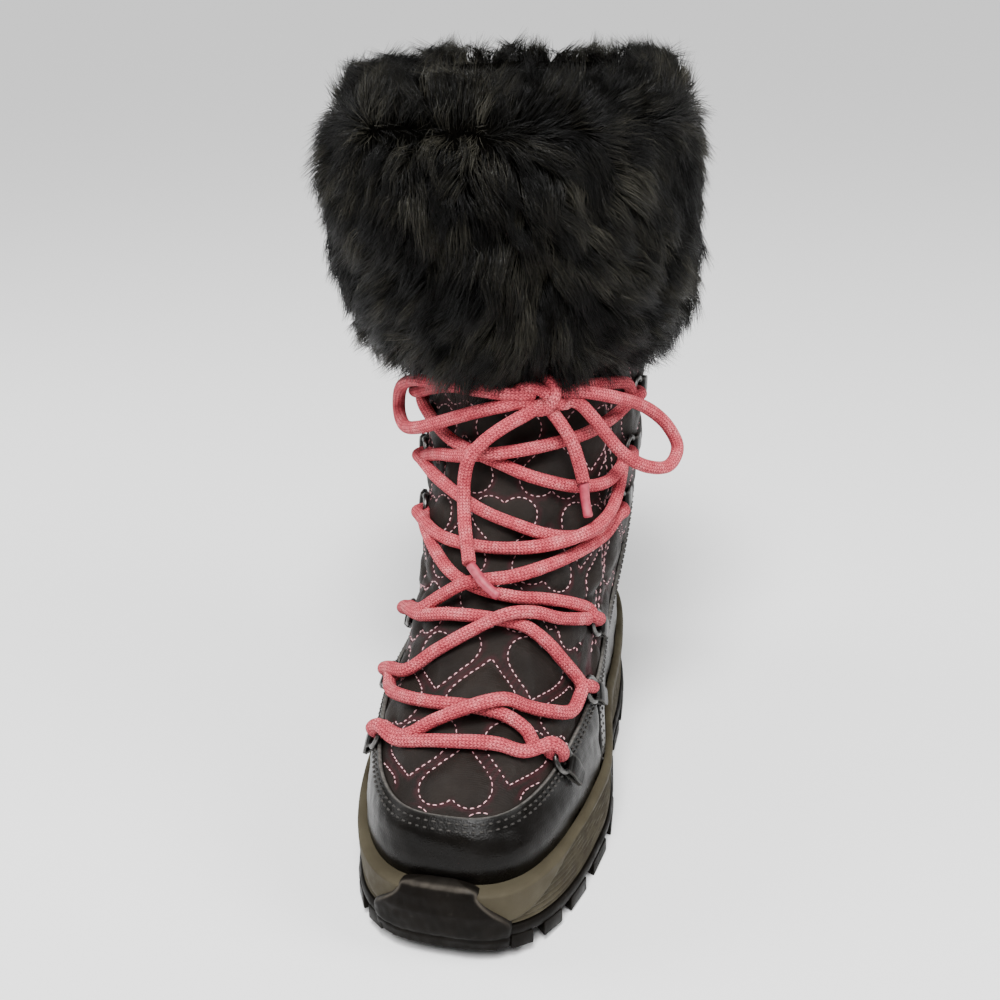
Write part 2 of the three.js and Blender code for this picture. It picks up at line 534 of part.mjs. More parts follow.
// Bow: a knot, two loops, and two ends with their tips
const LOOPS = {
  bow_loop_outer: [
    [11.8, 0.13, 12.5], [11.84, -0.1, 12], [11.84, -0.45, 11], [11.7, -0.75, 11], [11.35, -1, 11.5], [11, -1.04, 12],
    [10.82, -0.85, 12], [10.95, -0.6, 12.5], [11.2, -0.36, 12.5], [11.45, -0.12, 12.5], [11.62, 0.1, 12]],
  bow_loop_inner: [
    [11.8, 0.503, 12.5], [11.6, 0.78, 12], [11.25, 1.08, 14], [10.8, 1.25, 19], [10.35, 1.3, 23], [10.05, 1.2, 23],
    [10.15, 1.03, 19], [10.5, 0.87, 15], [10.95, 0.74, 13], [11.3, 0.64, 12.5], [11.58, 0.54, 12]],
};
const ENDS = {
  lace_end_long: [
    [11.47, 0.22, 12], [11.25, 0.08, 13.5], [10.95, -0.04, 15], [10.6, -0.12, 16], [10.2, -0.16, 14], [9.7, -0.17, 12],
    [9.2, -0.14, 12.5], [8.75, -0.1, 13], [8.5, -0.07, 14.5]],
  lace_end_short: [[11.44, 0.38, 11], [11.2, 0.44, 11.5], [10.9, 0.5, 12], [10.5, 0.56, 11], [10.08, 0.612, 10.5]],
};
const TIPS = {
  lace_tip_long: [[8.45, -0.057, 14.6], [8.1, 0.03, 15.2], [7.85, 0.12, 14.5]],
  lace_tip_short: [[10.04, 0.618, 10.4], [9.7, 0.64, 10.2], [9.35, 0.66, 11.5]],
};
const knot = new THREE.IcosahedronGeometry(1, 1).scale(10.5, 6.5, 6.5);
const knotSide = upperNormal(KNOT[0], KNOT[1]);
knot.rotateY(0.12).rotateZ(atan2(knotSide.x, -knotSide.y)).translate(...wayPoint(KNOT).toArray());
add("bow_knot", "lace", geometryOf(solid(knot)));
for (const [name, way] of Object.entries(LOOPS)) add(name, "lace", tube(way.map(wayPoint), LACE_RADIUS, 8, 13));
for (const [name, way] of Object.entries(ENDS)) add(name, "lace", tube(way.map(wayPoint), LACE_RADIUS, 8, 13));
for (const [name, way] of Object.entries(TIPS)) add(name, "lace", tube(way.map(wayPoint), TIP_RADIUS, 8, 8));

// The origin is on the floor, under the middle of the boot without its bow
const bow = ["bow_knot", ...Object.keys({ ...LOOPS, ...ENDS, ...TIPS })];
const whole = new THREE.Box3();
for (const mesh of boot.children) if (!bow.includes(mesh.name)) whole.expandByObject(mesh);
boot.position.set(-(whole.min.x + whole.max.x) / 2, -(whole.min.y + whole.max.y) / 2, 0);

export default boot;
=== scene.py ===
# %% [markdown]
# # A snow boot
# A quilted fabric boot for the right foot, with a leather toe rand and heel counter, a foam midsole on
# a rubber outsole, a deep fur cuff, and a pink lace that runs through six pairs of wire rings to a bow.
# Everything is in metres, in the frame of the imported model: the toe points along -Y, the inner side
# of the foot is +X, and Z is up from the floor.

# %% Load the frame
import math
import bpy
import bmesh
import numpy as np
from mathutils import Matrix, Vector
from mathutils.kdtree import KDTree


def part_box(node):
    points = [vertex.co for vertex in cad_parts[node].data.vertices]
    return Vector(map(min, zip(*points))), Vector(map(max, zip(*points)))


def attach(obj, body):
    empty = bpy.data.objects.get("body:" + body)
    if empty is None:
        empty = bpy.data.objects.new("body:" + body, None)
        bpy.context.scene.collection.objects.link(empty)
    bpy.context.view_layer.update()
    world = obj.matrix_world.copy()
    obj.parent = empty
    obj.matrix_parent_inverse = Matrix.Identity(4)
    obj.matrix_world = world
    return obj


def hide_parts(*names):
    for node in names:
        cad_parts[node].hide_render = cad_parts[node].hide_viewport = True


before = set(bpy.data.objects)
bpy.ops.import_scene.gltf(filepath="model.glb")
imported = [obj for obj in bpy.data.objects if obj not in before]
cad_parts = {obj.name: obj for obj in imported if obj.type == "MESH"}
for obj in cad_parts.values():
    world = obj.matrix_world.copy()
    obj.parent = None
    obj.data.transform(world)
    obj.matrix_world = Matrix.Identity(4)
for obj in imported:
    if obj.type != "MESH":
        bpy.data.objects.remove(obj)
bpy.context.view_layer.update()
print("nodes:", len(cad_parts))

# %% [markdown]
# ## Camera
# The photograph looks down at the toe from a little above and from the inner side. A camera is placed
# at the same spot, turned to the middle of the boot, and rolled a little.

# %% Camera
CAMERA_PLACE = Vector((0.14545, -0.54310, 0.34369))
CAMERA_AIM = Vector((0.01306, -0.03000, 0.13810))
CAMERA_ROLL = 0.0161
CAMERA_LENS = 51.05
SENSOR = 36.0

camera_data = bpy.data.cameras.new("camera")
camera_data.lens = CAMERA_LENS
camera_data.sensor_width = SENSOR
camera = bpy.data.objects.new("camera", camera_data)
bpy.context.collection.objects.link(camera)
look = (CAMERA_AIM - CAMERA_PLACE).normalized()
camera.location = CAMERA_PLACE
camera.rotation_mode = "QUATERNION"
camera.rotation_quaternion = (
    Matrix.Rotation(CAMERA_ROLL, 3, look) @ look.to_track_quat("-Z", "Y").to_matrix()
).to_quaternion()
bpy.context.scene.camera = camera
print("camera looks from", tuple(round(c, 3) for c in CAMERA_PLACE))

# %% [markdown]
# ## The last
# A boot is shaped over a last. The table gives its sections from the feather edge to the collar: how
# far inside the toe tip and heel back each one stands and how high, its half widths at the ball, waist
# and heel, how far the toe turns in and the leg leans out, how blunt its ends are, and how much it
# follows the tread. A Catmull-Rom curve eases each column, so the form is smooth between the rows.

# %% The last's sections
COLUMNS = [
    "front", "front_up", "back", "back_up", "fore", "waist", "heel", "toe_in", "lean", "blunt", "floor"]
SECTIONS = np.array([
    [0.0065, 0.0210, 0.0055, 0.0270, 0.0450, 0.0350, 0.0330, 0.0050, 0, 0.62, 1],
    [0.0015, 0.0300, 0.0015, 0.0380, 0.0465, 0.0365, 0.0350, 0.0050, 0, 0.62, 0.8],
    [0.0000, 0.0395, 0.0000, 0.0495, 0.0465, 0.0365, 0.0355, 0.0060, 0, 0.60, 0.5],
    [0.0035, 0.0485, 0.0005, 0.0605, 0.0455, 0.0360, 0.0355, 0.0050, 0, 0.65, 0.3],
    [0.0130, 0.0570, 0.0020, 0.0710, 0.0440, 0.0360, 0.0355, 0.0045, 0, 0.69, 0.1],
    [0.0290, 0.0660, 0.0040, 0.0810, 0.0420, 0.0380, 0.0380, 0.0035, 0, 0.73, 0],
    [0.0470, 0.0760, 0.0060, 0.0915, 0.0410, 0.0395, 0.0395, 0.0020, 0, 0.77, 0],
    [0.0650, 0.0880, 0.0080, 0.1020, 0.0410, 0.0410, 0.0415, 0.0010, 0, 0.81, 0],
    [0.0820, 0.1025, 0.0095, 0.1135, 0.0420, 0.0430, 0.0435, 0.0000, 0, 0.86, 0],
    [0.0965, 0.1200, 0.0100, 0.1270, 0.0435, 0.0445, 0.0450, 0.0000, 0, 0.90, 0],
    [0.1075, 0.1400, 0.0100, 0.1430, 0.0450, 0.0460, 0.0460, 0.0000, 0.0005, 0.94, 0],
    [0.1145, 0.1610, 0.0090, 0.1620, 0.0465, 0.0470, 0.0470, 0.0000, 0.0010, 0.97, 0],
    [0.1180, 0.1850, 0.0080, 0.1850, 0.0475, 0.0475, 0.0475, 0.0000, 0.0015, 1, 0],
    [0.1180, 0.2080, 0.0060, 0.2080, 0.0485, 0.0485, 0.0485, 0.0000, 0.0020, 1, 0],
    [0.1160, 0.2330, 0.0040, 0.2330, 0.0500, 0.0500, 0.0500, 0.0000, 0.0030, 1, 0],
    [0.1140, 0.2590, 0.0020, 0.2590, 0.0510, 0.0510, 0.0510, 0.0000, 0.0040, 1, 0],
    [0.1130, 0.2850, 0.0010, 0.2850, 0.0520, 0.0520, 0.0520, 0.0000, 0.0050, 1, 0],
])
TOP = len(SECTIONS) - 1
LEAN_TOP = SECTIONS[TOP, COLUMNS.index("lean")]
WALL = 0.003
LEATHER = 0.0017
GAP = 0.0003
TOE_SPRING, SPRING_LONG = 0.006, 0.22
ARCH_RISE, ARCH_FROM, ARCH_LONG = 0.002, 0.5, 0.2
HEEL_BEVEL, BEVEL_FROM, BEVEL_LONG = 0.0035, 0.93, 0.07
TOE_IN_LONG = 0.55
upper_low, upper_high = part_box("upper")
LAST_LENGTH = upper_high.y - upper_low.y
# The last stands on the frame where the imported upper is.
MIDDLE = np.array([(upper_low.x + upper_high.x) / 2 + LEAN_TOP, (upper_low.y + upper_high.y) / 2, 0.0])


def smooth(share):
    share = np.clip(share, 0, 1)
    return share * share * (3 - 2 * share)


def catmull_rom(a, b, c, d, f):
    """A place between b and c at share f, eased by their neighbours a and d."""
    return b + 0.5 * f * (c - a + f * (2 * a - 5 * b + 4 * c - d + f * (3 * (b - c) + d - a)))


def section(v):
    """The eased columns at section v, which may be an array."""
    v = np.clip(np.asarray(v, float), 0, TOP)
    i = np.minimum(v.astype(int), TOP - 1)
    f = (v - i)[..., None]
    a, b, c, d = (SECTIONS[np.clip(i + k, 0, TOP)] for k in (-1, 0, 1, 2))
    s = dict(zip(COLUMNS, np.moveaxis(catmull_rom(a, b, c, d, f), -1, 0)))
    s["front_y"] = -LAST_LENGTH / 2 + s["front"]
    s["back_y"] = LAST_LENGTH / 2 - s["back"]
    return s


def tread_rise(t):
    """Height of the tread above the floor from toe (0) to heel (1): toe spring, arch and heel bevel."""
    spring = TOE_SPRING * np.maximum(0, 1 - t / SPRING_LONG) ** 2
    under_arch = (t > ARCH_FROM) & (t < ARCH_FROM + ARCH_LONG)
    arch = ARCH_RISE * np.where(under_arch, np.sin(math.pi * (t - ARCH_FROM) / ARCH_LONG), 0) ** 2
    bevel = HEEL_BEVEL * np.maximum(0, (t - BEVEL_FROM) / BEVEL_LONG) ** 2
    return spring + arch + bevel


def outline_point(s, turn):
    """A point of a closed section at angle turn from its toe end, turning towards the inner side."""
    t = (1 - np.cos(turn)) / 2
    half = s["fore"] + (s["waist"] - s["fore"]) * smooth((t - 0.3) / 0.3)
    half = half + (s["heel"] - s["waist"]) * smooth((t - 0.6) / 0.3)
    x = s["toe_in"] * np.maximum(0, 1 - t / TOE_IN_LONG) ** 2 - s["lean"]
    x = x + np.sign(np.sin(turn)) * half * np.abs(np.sin(turn)) ** s["blunt"]
    y = s["front_y"] + (s["back_y"] - s["front_y"]) * t
    follow = tread_rise(t) - tread_rise(0) * (1 - t) - tread_rise(1) * t
    z = s["front_up"] + (s["back_up"] - s["front_up"]) * t + s["floor"] * follow
    return np.stack(np.broadcast_arrays(x, y, z), -1) + MIDDLE


TURN_STEP, SECTION_STEP = 0.12, 0.2


def normal(v, turn):
    """The last's outward direction, from the slopes over these steps."""
    v, turn = np.broadcast_arrays(np.asarray(v, float), np.asarray(turn, float))
    around = outline_point(section(v), turn + TURN_STEP) - outline_point(section(v), turn - TURN_STEP)
    upward = outline_point(section(v + SECTION_STEP), turn) - outline_point(section(v - SECTION_STEP), turn)
    cross = np.cross(around, upward)
    return cross / np.linalg.norm(cross, axis=-1, keepdims=True)


def on_last(v, turn, out=0.0):
    """A point at section v and angle turn, standing out from the last."""
    point = outline_point(section(v), turn)
    return point + normal(v, turn) * np.asarray(out, float)[..., None]


print("last length", round(LAST_LENGTH, 4), "middle", MIDDLE.round(4))

# %% [markdown]
# ## Helpers for sheets on the last
# Upper leathers and fabric are flat sheets wrapped over the last. A grid primitive is the flat sheet,
# and a function of its two directions moves each of its points onto the boot. The columns of a row are
# spaced evenly by length, since equal angles would crowd at the blunt toe.

# %% Sheets
SPREAD = np.linspace(-1, 1, 1201)
DENSE_TURNS = math.pi * (SPREAD - np.sin(2 * math.pi * SPREAD) / (2 * math.pi))
WELD_DISTANCE = 1e-6


def lengths_along(points):
    """The way along a line up to each of its points."""
    return np.concatenate([[0], np.cumsum(np.linalg.norm(np.diff(points, axis=0), axis=1))])


def even_turns(v, count, low=-math.pi, high=math.pi):
    """count + 1 angles between low and high, evenly spaced by length along section v."""
    turns = DENSE_TURNS[(DENSE_TURNS > low) & (DENSE_TURNS < high)]
    turns = np.concatenate([[low], turns, [high]])
    lengths = lengths_along(outline_point(section(v), turns))
    return np.interp(np.linspace(0, lengths[-1], count + 1), lengths, turns)


def start(name):
    """Takes the piece that an operator has just made, names it and returns it."""
    piece = bpy.context.object
    piece.name = name
    piece.data.name = name
    return piece


def select(*pieces):
    """Selects these pieces alone and makes the first one active."""
    bpy.ops.object.select_all(action="DESELECT")
    for piece in pieces:
        piece.select_set(True)
    bpy.context.view_layer.objects.active = pieces[0]


def join(*pieces):
    """Joins the pieces into the first one."""
    select(*pieces)
    bpy.ops.object.join()
    return pieces[0]


def places(piece):
    co = np.empty(len(piece.data.vertices) * 3)
    piece.data.vertices.foreach_get("co", co)
    return co.reshape(-1, 3)


def place(piece, points):
    piece.data.vertices.foreach_set("co", np.ascontiguousarray(points, dtype=np.float32).ravel())
    piece.data.update()


def attribute(piece, name, values):
    """A named number on each vertex, for the material."""
    data = piece.data.attributes.new(name, "FLOAT", "POINT")
    data.data.foreach_set("value", np.ascontiguousarray(values, dtype=np.float32).ravel())


def wrap(name, points, **values):
    """A grid primitive laid over rows of points, with named numbers at them for the material."""
    across, upwards = points.shape[1] - 1, points.shape[0] - 1
    bpy.ops.mesh.primitive_grid_add(x_subdivisions=across, y_subdivisions=upwards, size=2)
    piece = start(name)
    co = places(piece)
    columns = np.rint((co[:, 0] + 1) / 2 * across).astype(int)
    rows = np.rint((co[:, 1] + 1) / 2 * upwards).astype(int)
    place(piece, points[rows, columns])
    for key, numbers in values.items():
        attribute(piece, key, np.broadcast_to(numbers, points.shape[:2])[rows, columns])
    return piece


def weld(piece, caps=False):
    """Joins the sheet's meeting edges, closes open ends if asked, and turns the faces outwards."""
    form = bmesh.new()
    form.from_mesh(piece.data)
    bmesh.ops.remove_doubles(form, verts=form.verts, dist=WELD_DISTANCE)
    if caps:
        edges = [e for e in form.edges if e.is_boundary]
        bmesh.ops.holes_fill(form, edges=edges, sides=0)
    bmesh.ops.recalc_face_normals(form, faces=form.faces)
    form.to_mesh(piece.data)
    form.free()


def shade(piece, angle=None):
    """Smooth shading; edges sharper than the angle in degrees stay crisp."""
    select(piece)
    if angle is None:
        bpy.ops.object.shade_smooth()
    else:
        bpy.ops.object.shade_smooth_by_angle(angle=math.radians(angle))


def apply(piece, kind, **settings):
    """Adds a modifier and applies it."""
    modifier = piece.modifiers.new(kind.lower(), kind)
    for key, value in settings.items():
        setattr(modifier, key, value)
    select(piece)
    bpy.ops.object.modifier_apply(modifier=modifier.name)


def mesh_piece(name, points, faces):
    """A piece from points and equal-sided faces, for the many small things that a grid can't make."""
    points = np.ascontiguousarray(points, dtype=np.float32).reshape(-1, 3)
    faces = np.ascontiguousarray(faces, dtype=np.int32)
    sides = faces.shape[1]
    mesh = bpy.data.meshes.new(name)
    mesh.vertices.add(len(points))
    mesh.vertices.foreach_set("co", points.ravel())
    mesh.loops.add(faces.size)
    mesh.loops.foreach_set("vertex_index", faces.ravel())
    mesh.polygons.add(len(faces))
    mesh.polygons.foreach_set("loop_start", np.arange(0, faces.size, sides, dtype=np.int32))
    mesh.polygons.foreach_set("loop_total", np.full(len(faces), sides, dtype=np.int32))
    mesh.update(calc_edges=True)
    piece = bpy.data.objects.new(name, mesh)
    bpy.context.collection.objects.link(piece)
    return piece


def paint(piece, *materials):
    piece.data.materials.clear()
    for material in materials:
        piece.data.materials.append(material)


def second_material(piece):
    """Gives all faces of the piece its second material."""
    piece.data.polygons.foreach_set("material_index", np.ones(len(piece.data.polygons), dtype=np.int32))


def seat_on_boot(piece, slot, *nodes):
    """The piece rides on the boot and stands for its solids, which are hidden; the slot is not used."""
    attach(piece, "root")
    if nodes:
        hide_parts(*nodes)


def complete(piece, material, slot, *nodes, angle=None):
    shade(piece, angle)
    paint(piece, material)
    seat_on_boot(piece, slot, *nodes)


# %% [markdown]
# ## Noise
# Real surfaces are never even. This soft noise is a sum of a few waves in fixed directions, so that it
# is the same each time, and it moves points by a millimetre or less.

# %% Soft noise
def waves(points, size, seed=0):
    """A smooth number between about -1 and 1 at each point, whose bumps are about size across."""
    chance = np.random.default_rng(seed)
    total = np.zeros(points.shape[:-1])
    for _ in range(7):
        way = chance.normal(size=3)
        way *= 2 * math.pi / (size * np.linalg.norm(way)) * chance.uniform(0.6, 1.3)
        total += np.sin(points @ way + chance.uniform(0, 2 * math.pi))
    return total / 3.5


# %% [markdown]
# ## Lace route
# The lace is the first thing to settle, since the fabric yields under it. It is one round cord from the
# knot down through the rings and back up. Each run lists the places that it passes, as section, angle
# and distance from the last, which is 4 mm where none is given. Where two runs cross, one passes 5 mm
# over the other.

# %% Lace rings and runs
LACE_RADIUS = 0.0027
TIP_RADIUS = 0.0019
WIRE_RADIUS = 0.0011
RING_RADIUS = 0.0049
LACE_OUT = 0.004
FIXINGS = [
    {"v": 3.86, "outer": -0.79, "inner": 0.77, "pull": 5.5, "out": 0.0031},
    {"v": 4.62, "outer": -1.05, "inner": 1.1, "pull": 6.5, "out": 0.0031},
    {"v": 6.28, "outer": -1.1, "inner": 1.17, "pull": 8, "out": 0.0015},
    {"v": 9, "outer": -1, "inner": 1.28, "pull": 9, "out": 0.0015},
    {"v": 10.15, "outer": -1.02, "inner": 1.33, "pull": 10.2, "out": 0.0015},
    {"v": 11.3, "outer": -1.1, "inner": 1.38, "pull": 11.5, "out": 0.0015},
]
# From the knot down the outer side, along the bar, and up again, in the order in which the lace runs.
RUNS = [
    {"to": (6, "outer"), "way": [
        (11.77, 0.1, 0.0055), (11.78, -0.15, 0.0045), (11.75, -0.4), (11.6, -0.65)]},
    {"to": (5, "inner"), "way": [
        (10.85, -0.45), (10.65, -0.15), (10.5, 0.03), (10.3, 0.22), (10.1, 0.45), (9.95, 0.65),
        (9.85, 0.95)]},
    {"to": (4, "outer"), "way": [
        (9.4, 1.05, 0.005), (9.15, 0.85, 0.008), (9, 0.6, 0.0092), (8.95, 0.38, 0.006), (8.95, 0.1),
        (8.95, -0.2), (8.95, -0.5)]},
    {"to": (3, "inner"), "way": [
        (8.6, -0.48), (8.33, -0.25), (8.18, -0.04), (8.02, 0.24), (7.89, 0.47), (7.57, 0.73),
        (7.09, 0.95)]},
    {"to": (2, "outer"), "way": [
        (6.98, 0.9), (7.36, 0.63), (7.63, 0.37, 0.007), (7.6, 0.18, 0.0092), (7.34, -0.02, 0.0055),
        (6.81, -0.28), (6.01, -0.57)]},
    {"to": (1, "inner"), "way": [
        (5.05, -0.8), (5.48, -0.52), (5.76, -0.23), (5.83, 0.04), (5.65, 0.24), (5.2, 0.42), (4.65, 0.53)]},
    {"to": (1, "outer"), "way": [
        (4.71, 0.42), (5.05, 0.2), (5.02, -0.11), (4.59, -0.46)]},
    {"to": (2, "inner"), "way": [
        (4.79, -0.39), (5.42, -0.14, 0.005), (5.78, 0.1, 0.0092), (5.86, 0.25, 0.008), (5.68, 0.42, 0.0045),
        (5.29, 0.63), (4.83, 0.85)]},
    {"to": (3, "outer"), "way": [
        (5.6, 0.88), (6.37, 0.7), (6.93, 0.54), (7.42, 0.33), (7.61, 0.1), (7.58, -0.23), (7.24, -0.57)]},
    {"to": (4, "inner"), "way": [
        (7.36, -0.57), (7.89, -0.31, 0.005), (8.18, -0.09, 0.0092), (8.39, 0.18, 0.007), (8.55, 0.43),
        (8.65, 0.7), (8.75, 1)]},
    {"to": (5, "outer"), "way": [
        (8.95, 0.85), (9, 0.65), (9.15, 0.42), (9.4, 0.15), (9.6, -0.08), (9.8, -0.3), (10, -0.6)]},
    {"to": (6, "inner"), "way": [
        (10.45, -0.55), (10.55, -0.3, 0.006), (10.65, -0.1, 0.0092), (10.75, 0.12, 0.007), (10.85, 0.4),
        (10.95, 0.7), (11.1, 0.95)]},
    {"to": None, "way": [
        (11.6, 1.1), (11.72, 0.9), (11.77, 0.72, 0.0045), (11.77, 0.54, 0.0055)]},
]


def fixing_frame(row, side):
    """A ring's own frame: x along the surface towards the lacing, z away from the surface."""
    fixing = FIXINGS[row - 1]
    centre = on_last(fixing["v"], fixing[side], fixing["out"])
    away = normal(fixing["v"], fixing[side])
    along = on_last(fixing["pull"], 0.0) - centre
    along -= away * (along @ away)
    along /= np.linalg.norm(along)
    return np.stack([along, np.cross(away, along), away], 1), centre


def way_points(way):
    v, turn, out = np.array([(*passed, LACE_OUT)[:3] for passed in way], float).T
    return on_last(v, turn, out)


SPLINE_PARTS = 40


def spline(points, step):
    """Points at even steps on a centripetal Catmull-Rom curve through the given points."""
    points = np.asarray(points, float)
    points = np.concatenate([[2 * points[0] - points[1]], points, [2 * points[-1] - points[-2]]])
    curve = []
    for p0, p1, p2, p3 in zip(points, points[1:], points[2:], points[3:]):
        gaps = [np.sqrt(np.linalg.norm(b - a)) for a, b in ((p0, p1), (p1, p2), (p2, p3))]
        t0, t1, t2, t3 = np.cumsum([0] + gaps)
        t = np.linspace(t1, t2, SPLINE_PARTS, endpoint=False)[:, None]
        a1 = ((t1 - t) * p0 + (t - t0) * p1) / (t1 - t0)
        a2 = ((t2 - t) * p1 + (t - t1) * p2) / (t2 - t1)
        a3 = ((t3 - t) * p2 + (t - t2) * p3) / (t3 - t2)
        b1 = ((t2 - t) * a1 + (t - t0) * a2) / (t2 - t0)
        b2 = ((t3 - t) * a2 + (t - t1) * a3) / (t3 - t1)
        curve.append(((t2 - t) * b1 + (t - t1) * b2) / (t2 - t1))
    return even_steps(np.concatenate(curve + [points[-2:-1]]), step)


def even_steps(points, step):
    lengths = lengths_along(points)
    count = max(2, int(round(lengths[-1] / step)))
    at = np.linspace(0, lengths[-1], count + 1)
    return np.stack([np.interp(at, lengths, points[:, k]) for k in range(3)], 1)


def length_of(points):
    return float(np.linalg.norm(np.diff(points, axis=0), axis=1).sum())


# %% [markdown]
# At a ring the lace comes in over the wire, drops through the ring and leaves under the wire, and the
# side that each run lies on decides which way it leans.

# %% Lace through the rings
LACE_STEP = 0.0007
# A run that lies this far to one side leans the lace fully that way.
FULL_LEAN = 0.02


def through_ring(row, side, before, after):
    axes, centre = fixing_frame(row, side)
    lean_in = np.clip((before - centre) @ axes[:, 1] / FULL_LEAN, -1, 1)
    lean_out = np.clip((after - centre) @ axes[:, 1] / FULL_LEAN, -1, 1)
    # In the ring's frame: towards the lacing, across it, and away from the surface
    turn_back = [
        (RING_RADIUS + 0.0062, 0.0030 * lean_in, 0.0026),
        (RING_RADIUS + 0.0008, 0.0016 * lean_in, 0.0036),
        (RING_RADIUS - 0.0034, 0.0000, 0.0006),
        (RING_RADIUS + 0.0008, 0.0016 * lean_out, -0.0018),
        (RING_RADIUS + 0.0062, 0.0030 * lean_out, 0.0008),
    ]
    return [centre + axes @ np.array(p) for p in turn_back]


route = []
for run, after in zip(RUNS, RUNS[1:] + [None]):
    ways = way_points(run["way"])
    route.extend(ways)
    if run["to"]:
        route.extend(through_ring(*run["to"], ways[-1], way_points(after["way"])[0]))
LACE_ROUTE = spline(route, LACE_STEP)
print("lace on the boot is", round(length_of(LACE_ROUTE), 3), "m long")

# %% [markdown]
# ## Tubes
# A cord is a round section swept along its route. The section is turned as little as possible from step
# to step, so the weave does not twist, and the mesh keeps a UV map: u runs along the cord and v round
# it, both in metres, which is what the braid needs.

# %% Sweep
FIRST_SIDE = (0.1, 0.2, 1.0)


def swept(name, path, radius, sides=16):
    """A tube on path, with closed ends. radius may vary along it."""
    count = len(path)
    radius = np.broadcast_to(radius, count)
    tangent = np.gradient(path, axis=0)
    tangent /= np.linalg.norm(tangent, axis=1, keepdims=True)
    side = np.empty_like(path)
    first = np.cross(tangent[0], FIRST_SIDE)
    side[0] = first / np.linalg.norm(first)
    for i in range(1, count):
        s = side[i - 1] - tangent[i] * (side[i - 1] @ tangent[i])
        side[i] = s / np.linalg.norm(s)
    up = np.cross(tangent, side)
    angle = 2 * math.pi * np.arange(sides) / sides
    rings = path[:, None] + radius[:, None, None] * (
        side[:, None] * np.cos(angle)[None, :, None] + up[:, None] * np.sin(angle)[None, :, None])
    i, j = np.meshgrid(np.arange(count - 1), np.arange(sides), indexing="ij")
    k = (j + 1) % sides
    faces = np.stack([i * sides + j, i * sides + k, (i + 1) * sides + k, (i + 1) * sides + j], -1)
    piece = mesh_piece(name, rings.reshape(-1, 3), faces.reshape(-1, 4))
    lengths = lengths_along(path)
    uv = piece.data.uv_layers.new(name="UVMap")
    around = 2 * math.pi * LACE_RADIUS / sides
    corner = np.stack([
        np.stack([lengths[i + a], (j + b) * around], -1) for a, b in ((0, 0), (0, 1), (1, 1), (1, 0))], 2)
    uv.data.foreach_set("uv", corner.reshape(-1, 2).astype(np.float32).ravel())
    weld(piece, caps=True)
    return piece


# %% [markdown]
# ## Materials
# Every finish is a small node tree. A helper makes the nodes and links short to write: it starts a
# material, gives its surface shader the constant values, and returns what the finish builds on.

# %% Node helper
class Finish:
    """A material being built: node() adds a node, link() joins an output to an input."""

    def __init__(self, name, **constants):
        self.material = bpy.data.materials.new(name)
        self.material.use_nodes = True
        self.tree = self.material.node_tree
        self.shader = self.tree.nodes["Principled BSDF"]
        for key, value in constants.items():
            self.shader.inputs[key.replace("_", " ")].default_value = value

    def feed(self, value, socket):
        """A value is another node's output or a constant."""
        if isinstance(value, bpy.types.NodeSocket):
            self.tree.links.new(value, socket)
        else:
            socket.default_value = value

    def node(self, kind, settings=None, **inputs):
        made = self.tree.nodes.new(kind)
        for key, value in (settings or {}).items():
            setattr(made, key, value)
        for key, value in inputs.items():
            self.feed(value, made.inputs[key.replace("_", " ")])
        return made

    def link(self, output, key):
        self.tree.links.new(output, self.shader.inputs[key])

    def math(self, operation, a, b=0.0, c=0.0):
        made = self.node("ShaderNodeMath", {"operation": operation})
        for socket, value in zip(made.inputs, (a, b, c)):
            self.feed(value, socket)
        return made.outputs[0]

    def where(self):
        return self.node("ShaderNodeTexCoord").outputs["Object"]

    def spots(self, scale, detail=3.0, vector=None):
        """Noise at a scale in spots per metre."""
        noise = self.node("ShaderNodeTexNoise", Scale=scale, Detail=detail, Vector=vector or self.where())
        return noise.outputs["Fac"]

    def speckle(self, scale, detail, *stops):
        """Colours, or greys, along noise at a scale."""
        return self.ramp(self.spots(scale, detail), *stops)

    def ramp(self, value, *stops):
        """Colours, or greys, at places along a value from 0 to 1."""
        made = self.node("ShaderNodeValToRGB", Fac=value)
        elements = made.color_ramp.elements
        while len(elements) < len(stops):
            elements.new(0.5)
        for element, (at, colour) in zip(elements, stops):
            element.position = at
            element.color = (*colour, 1) if isinstance(colour, tuple) else (colour, colour, colour, 1)
        return made.outputs["Color"]

    def mix(self, share, a, b):
        """Colour a where share is 0 and colour b where it is 1."""
        made = self.node("ShaderNodeMix", {"data_type": "RGBA"})
        for index, value in ((0, share), (6, a), (7, b)):
            self.feed((*value, 1) if isinstance(value, tuple) else value, made.inputs[index])
        return made.outputs[2]

    def bump(self, height, distance, strength=1.0, under=None):
        made = self.node("ShaderNodeBump", Height=height, Distance=distance, Strength=strength)
        if under is not None:
            self.tree.links.new(under, made.inputs["Normal"])
        return made.outputs["Normal"]

    def value(self, name):
        """A number that the piece carries on its vertices."""
        return self.node("ShaderNodeAttribute", {"attribute_name": name}).outputs["Fac"]


# %% [markdown]
# ### Quilted fabric
# A black satin-woven polyamide over wadding. It is nearly black on the hearts, and a dark maroon is painted
# beside the stitches as the pink thread's reflection; it has a soft sheen and a fine weave.

# %% Quilted fabric finish
WEAVE_SCALE = 900


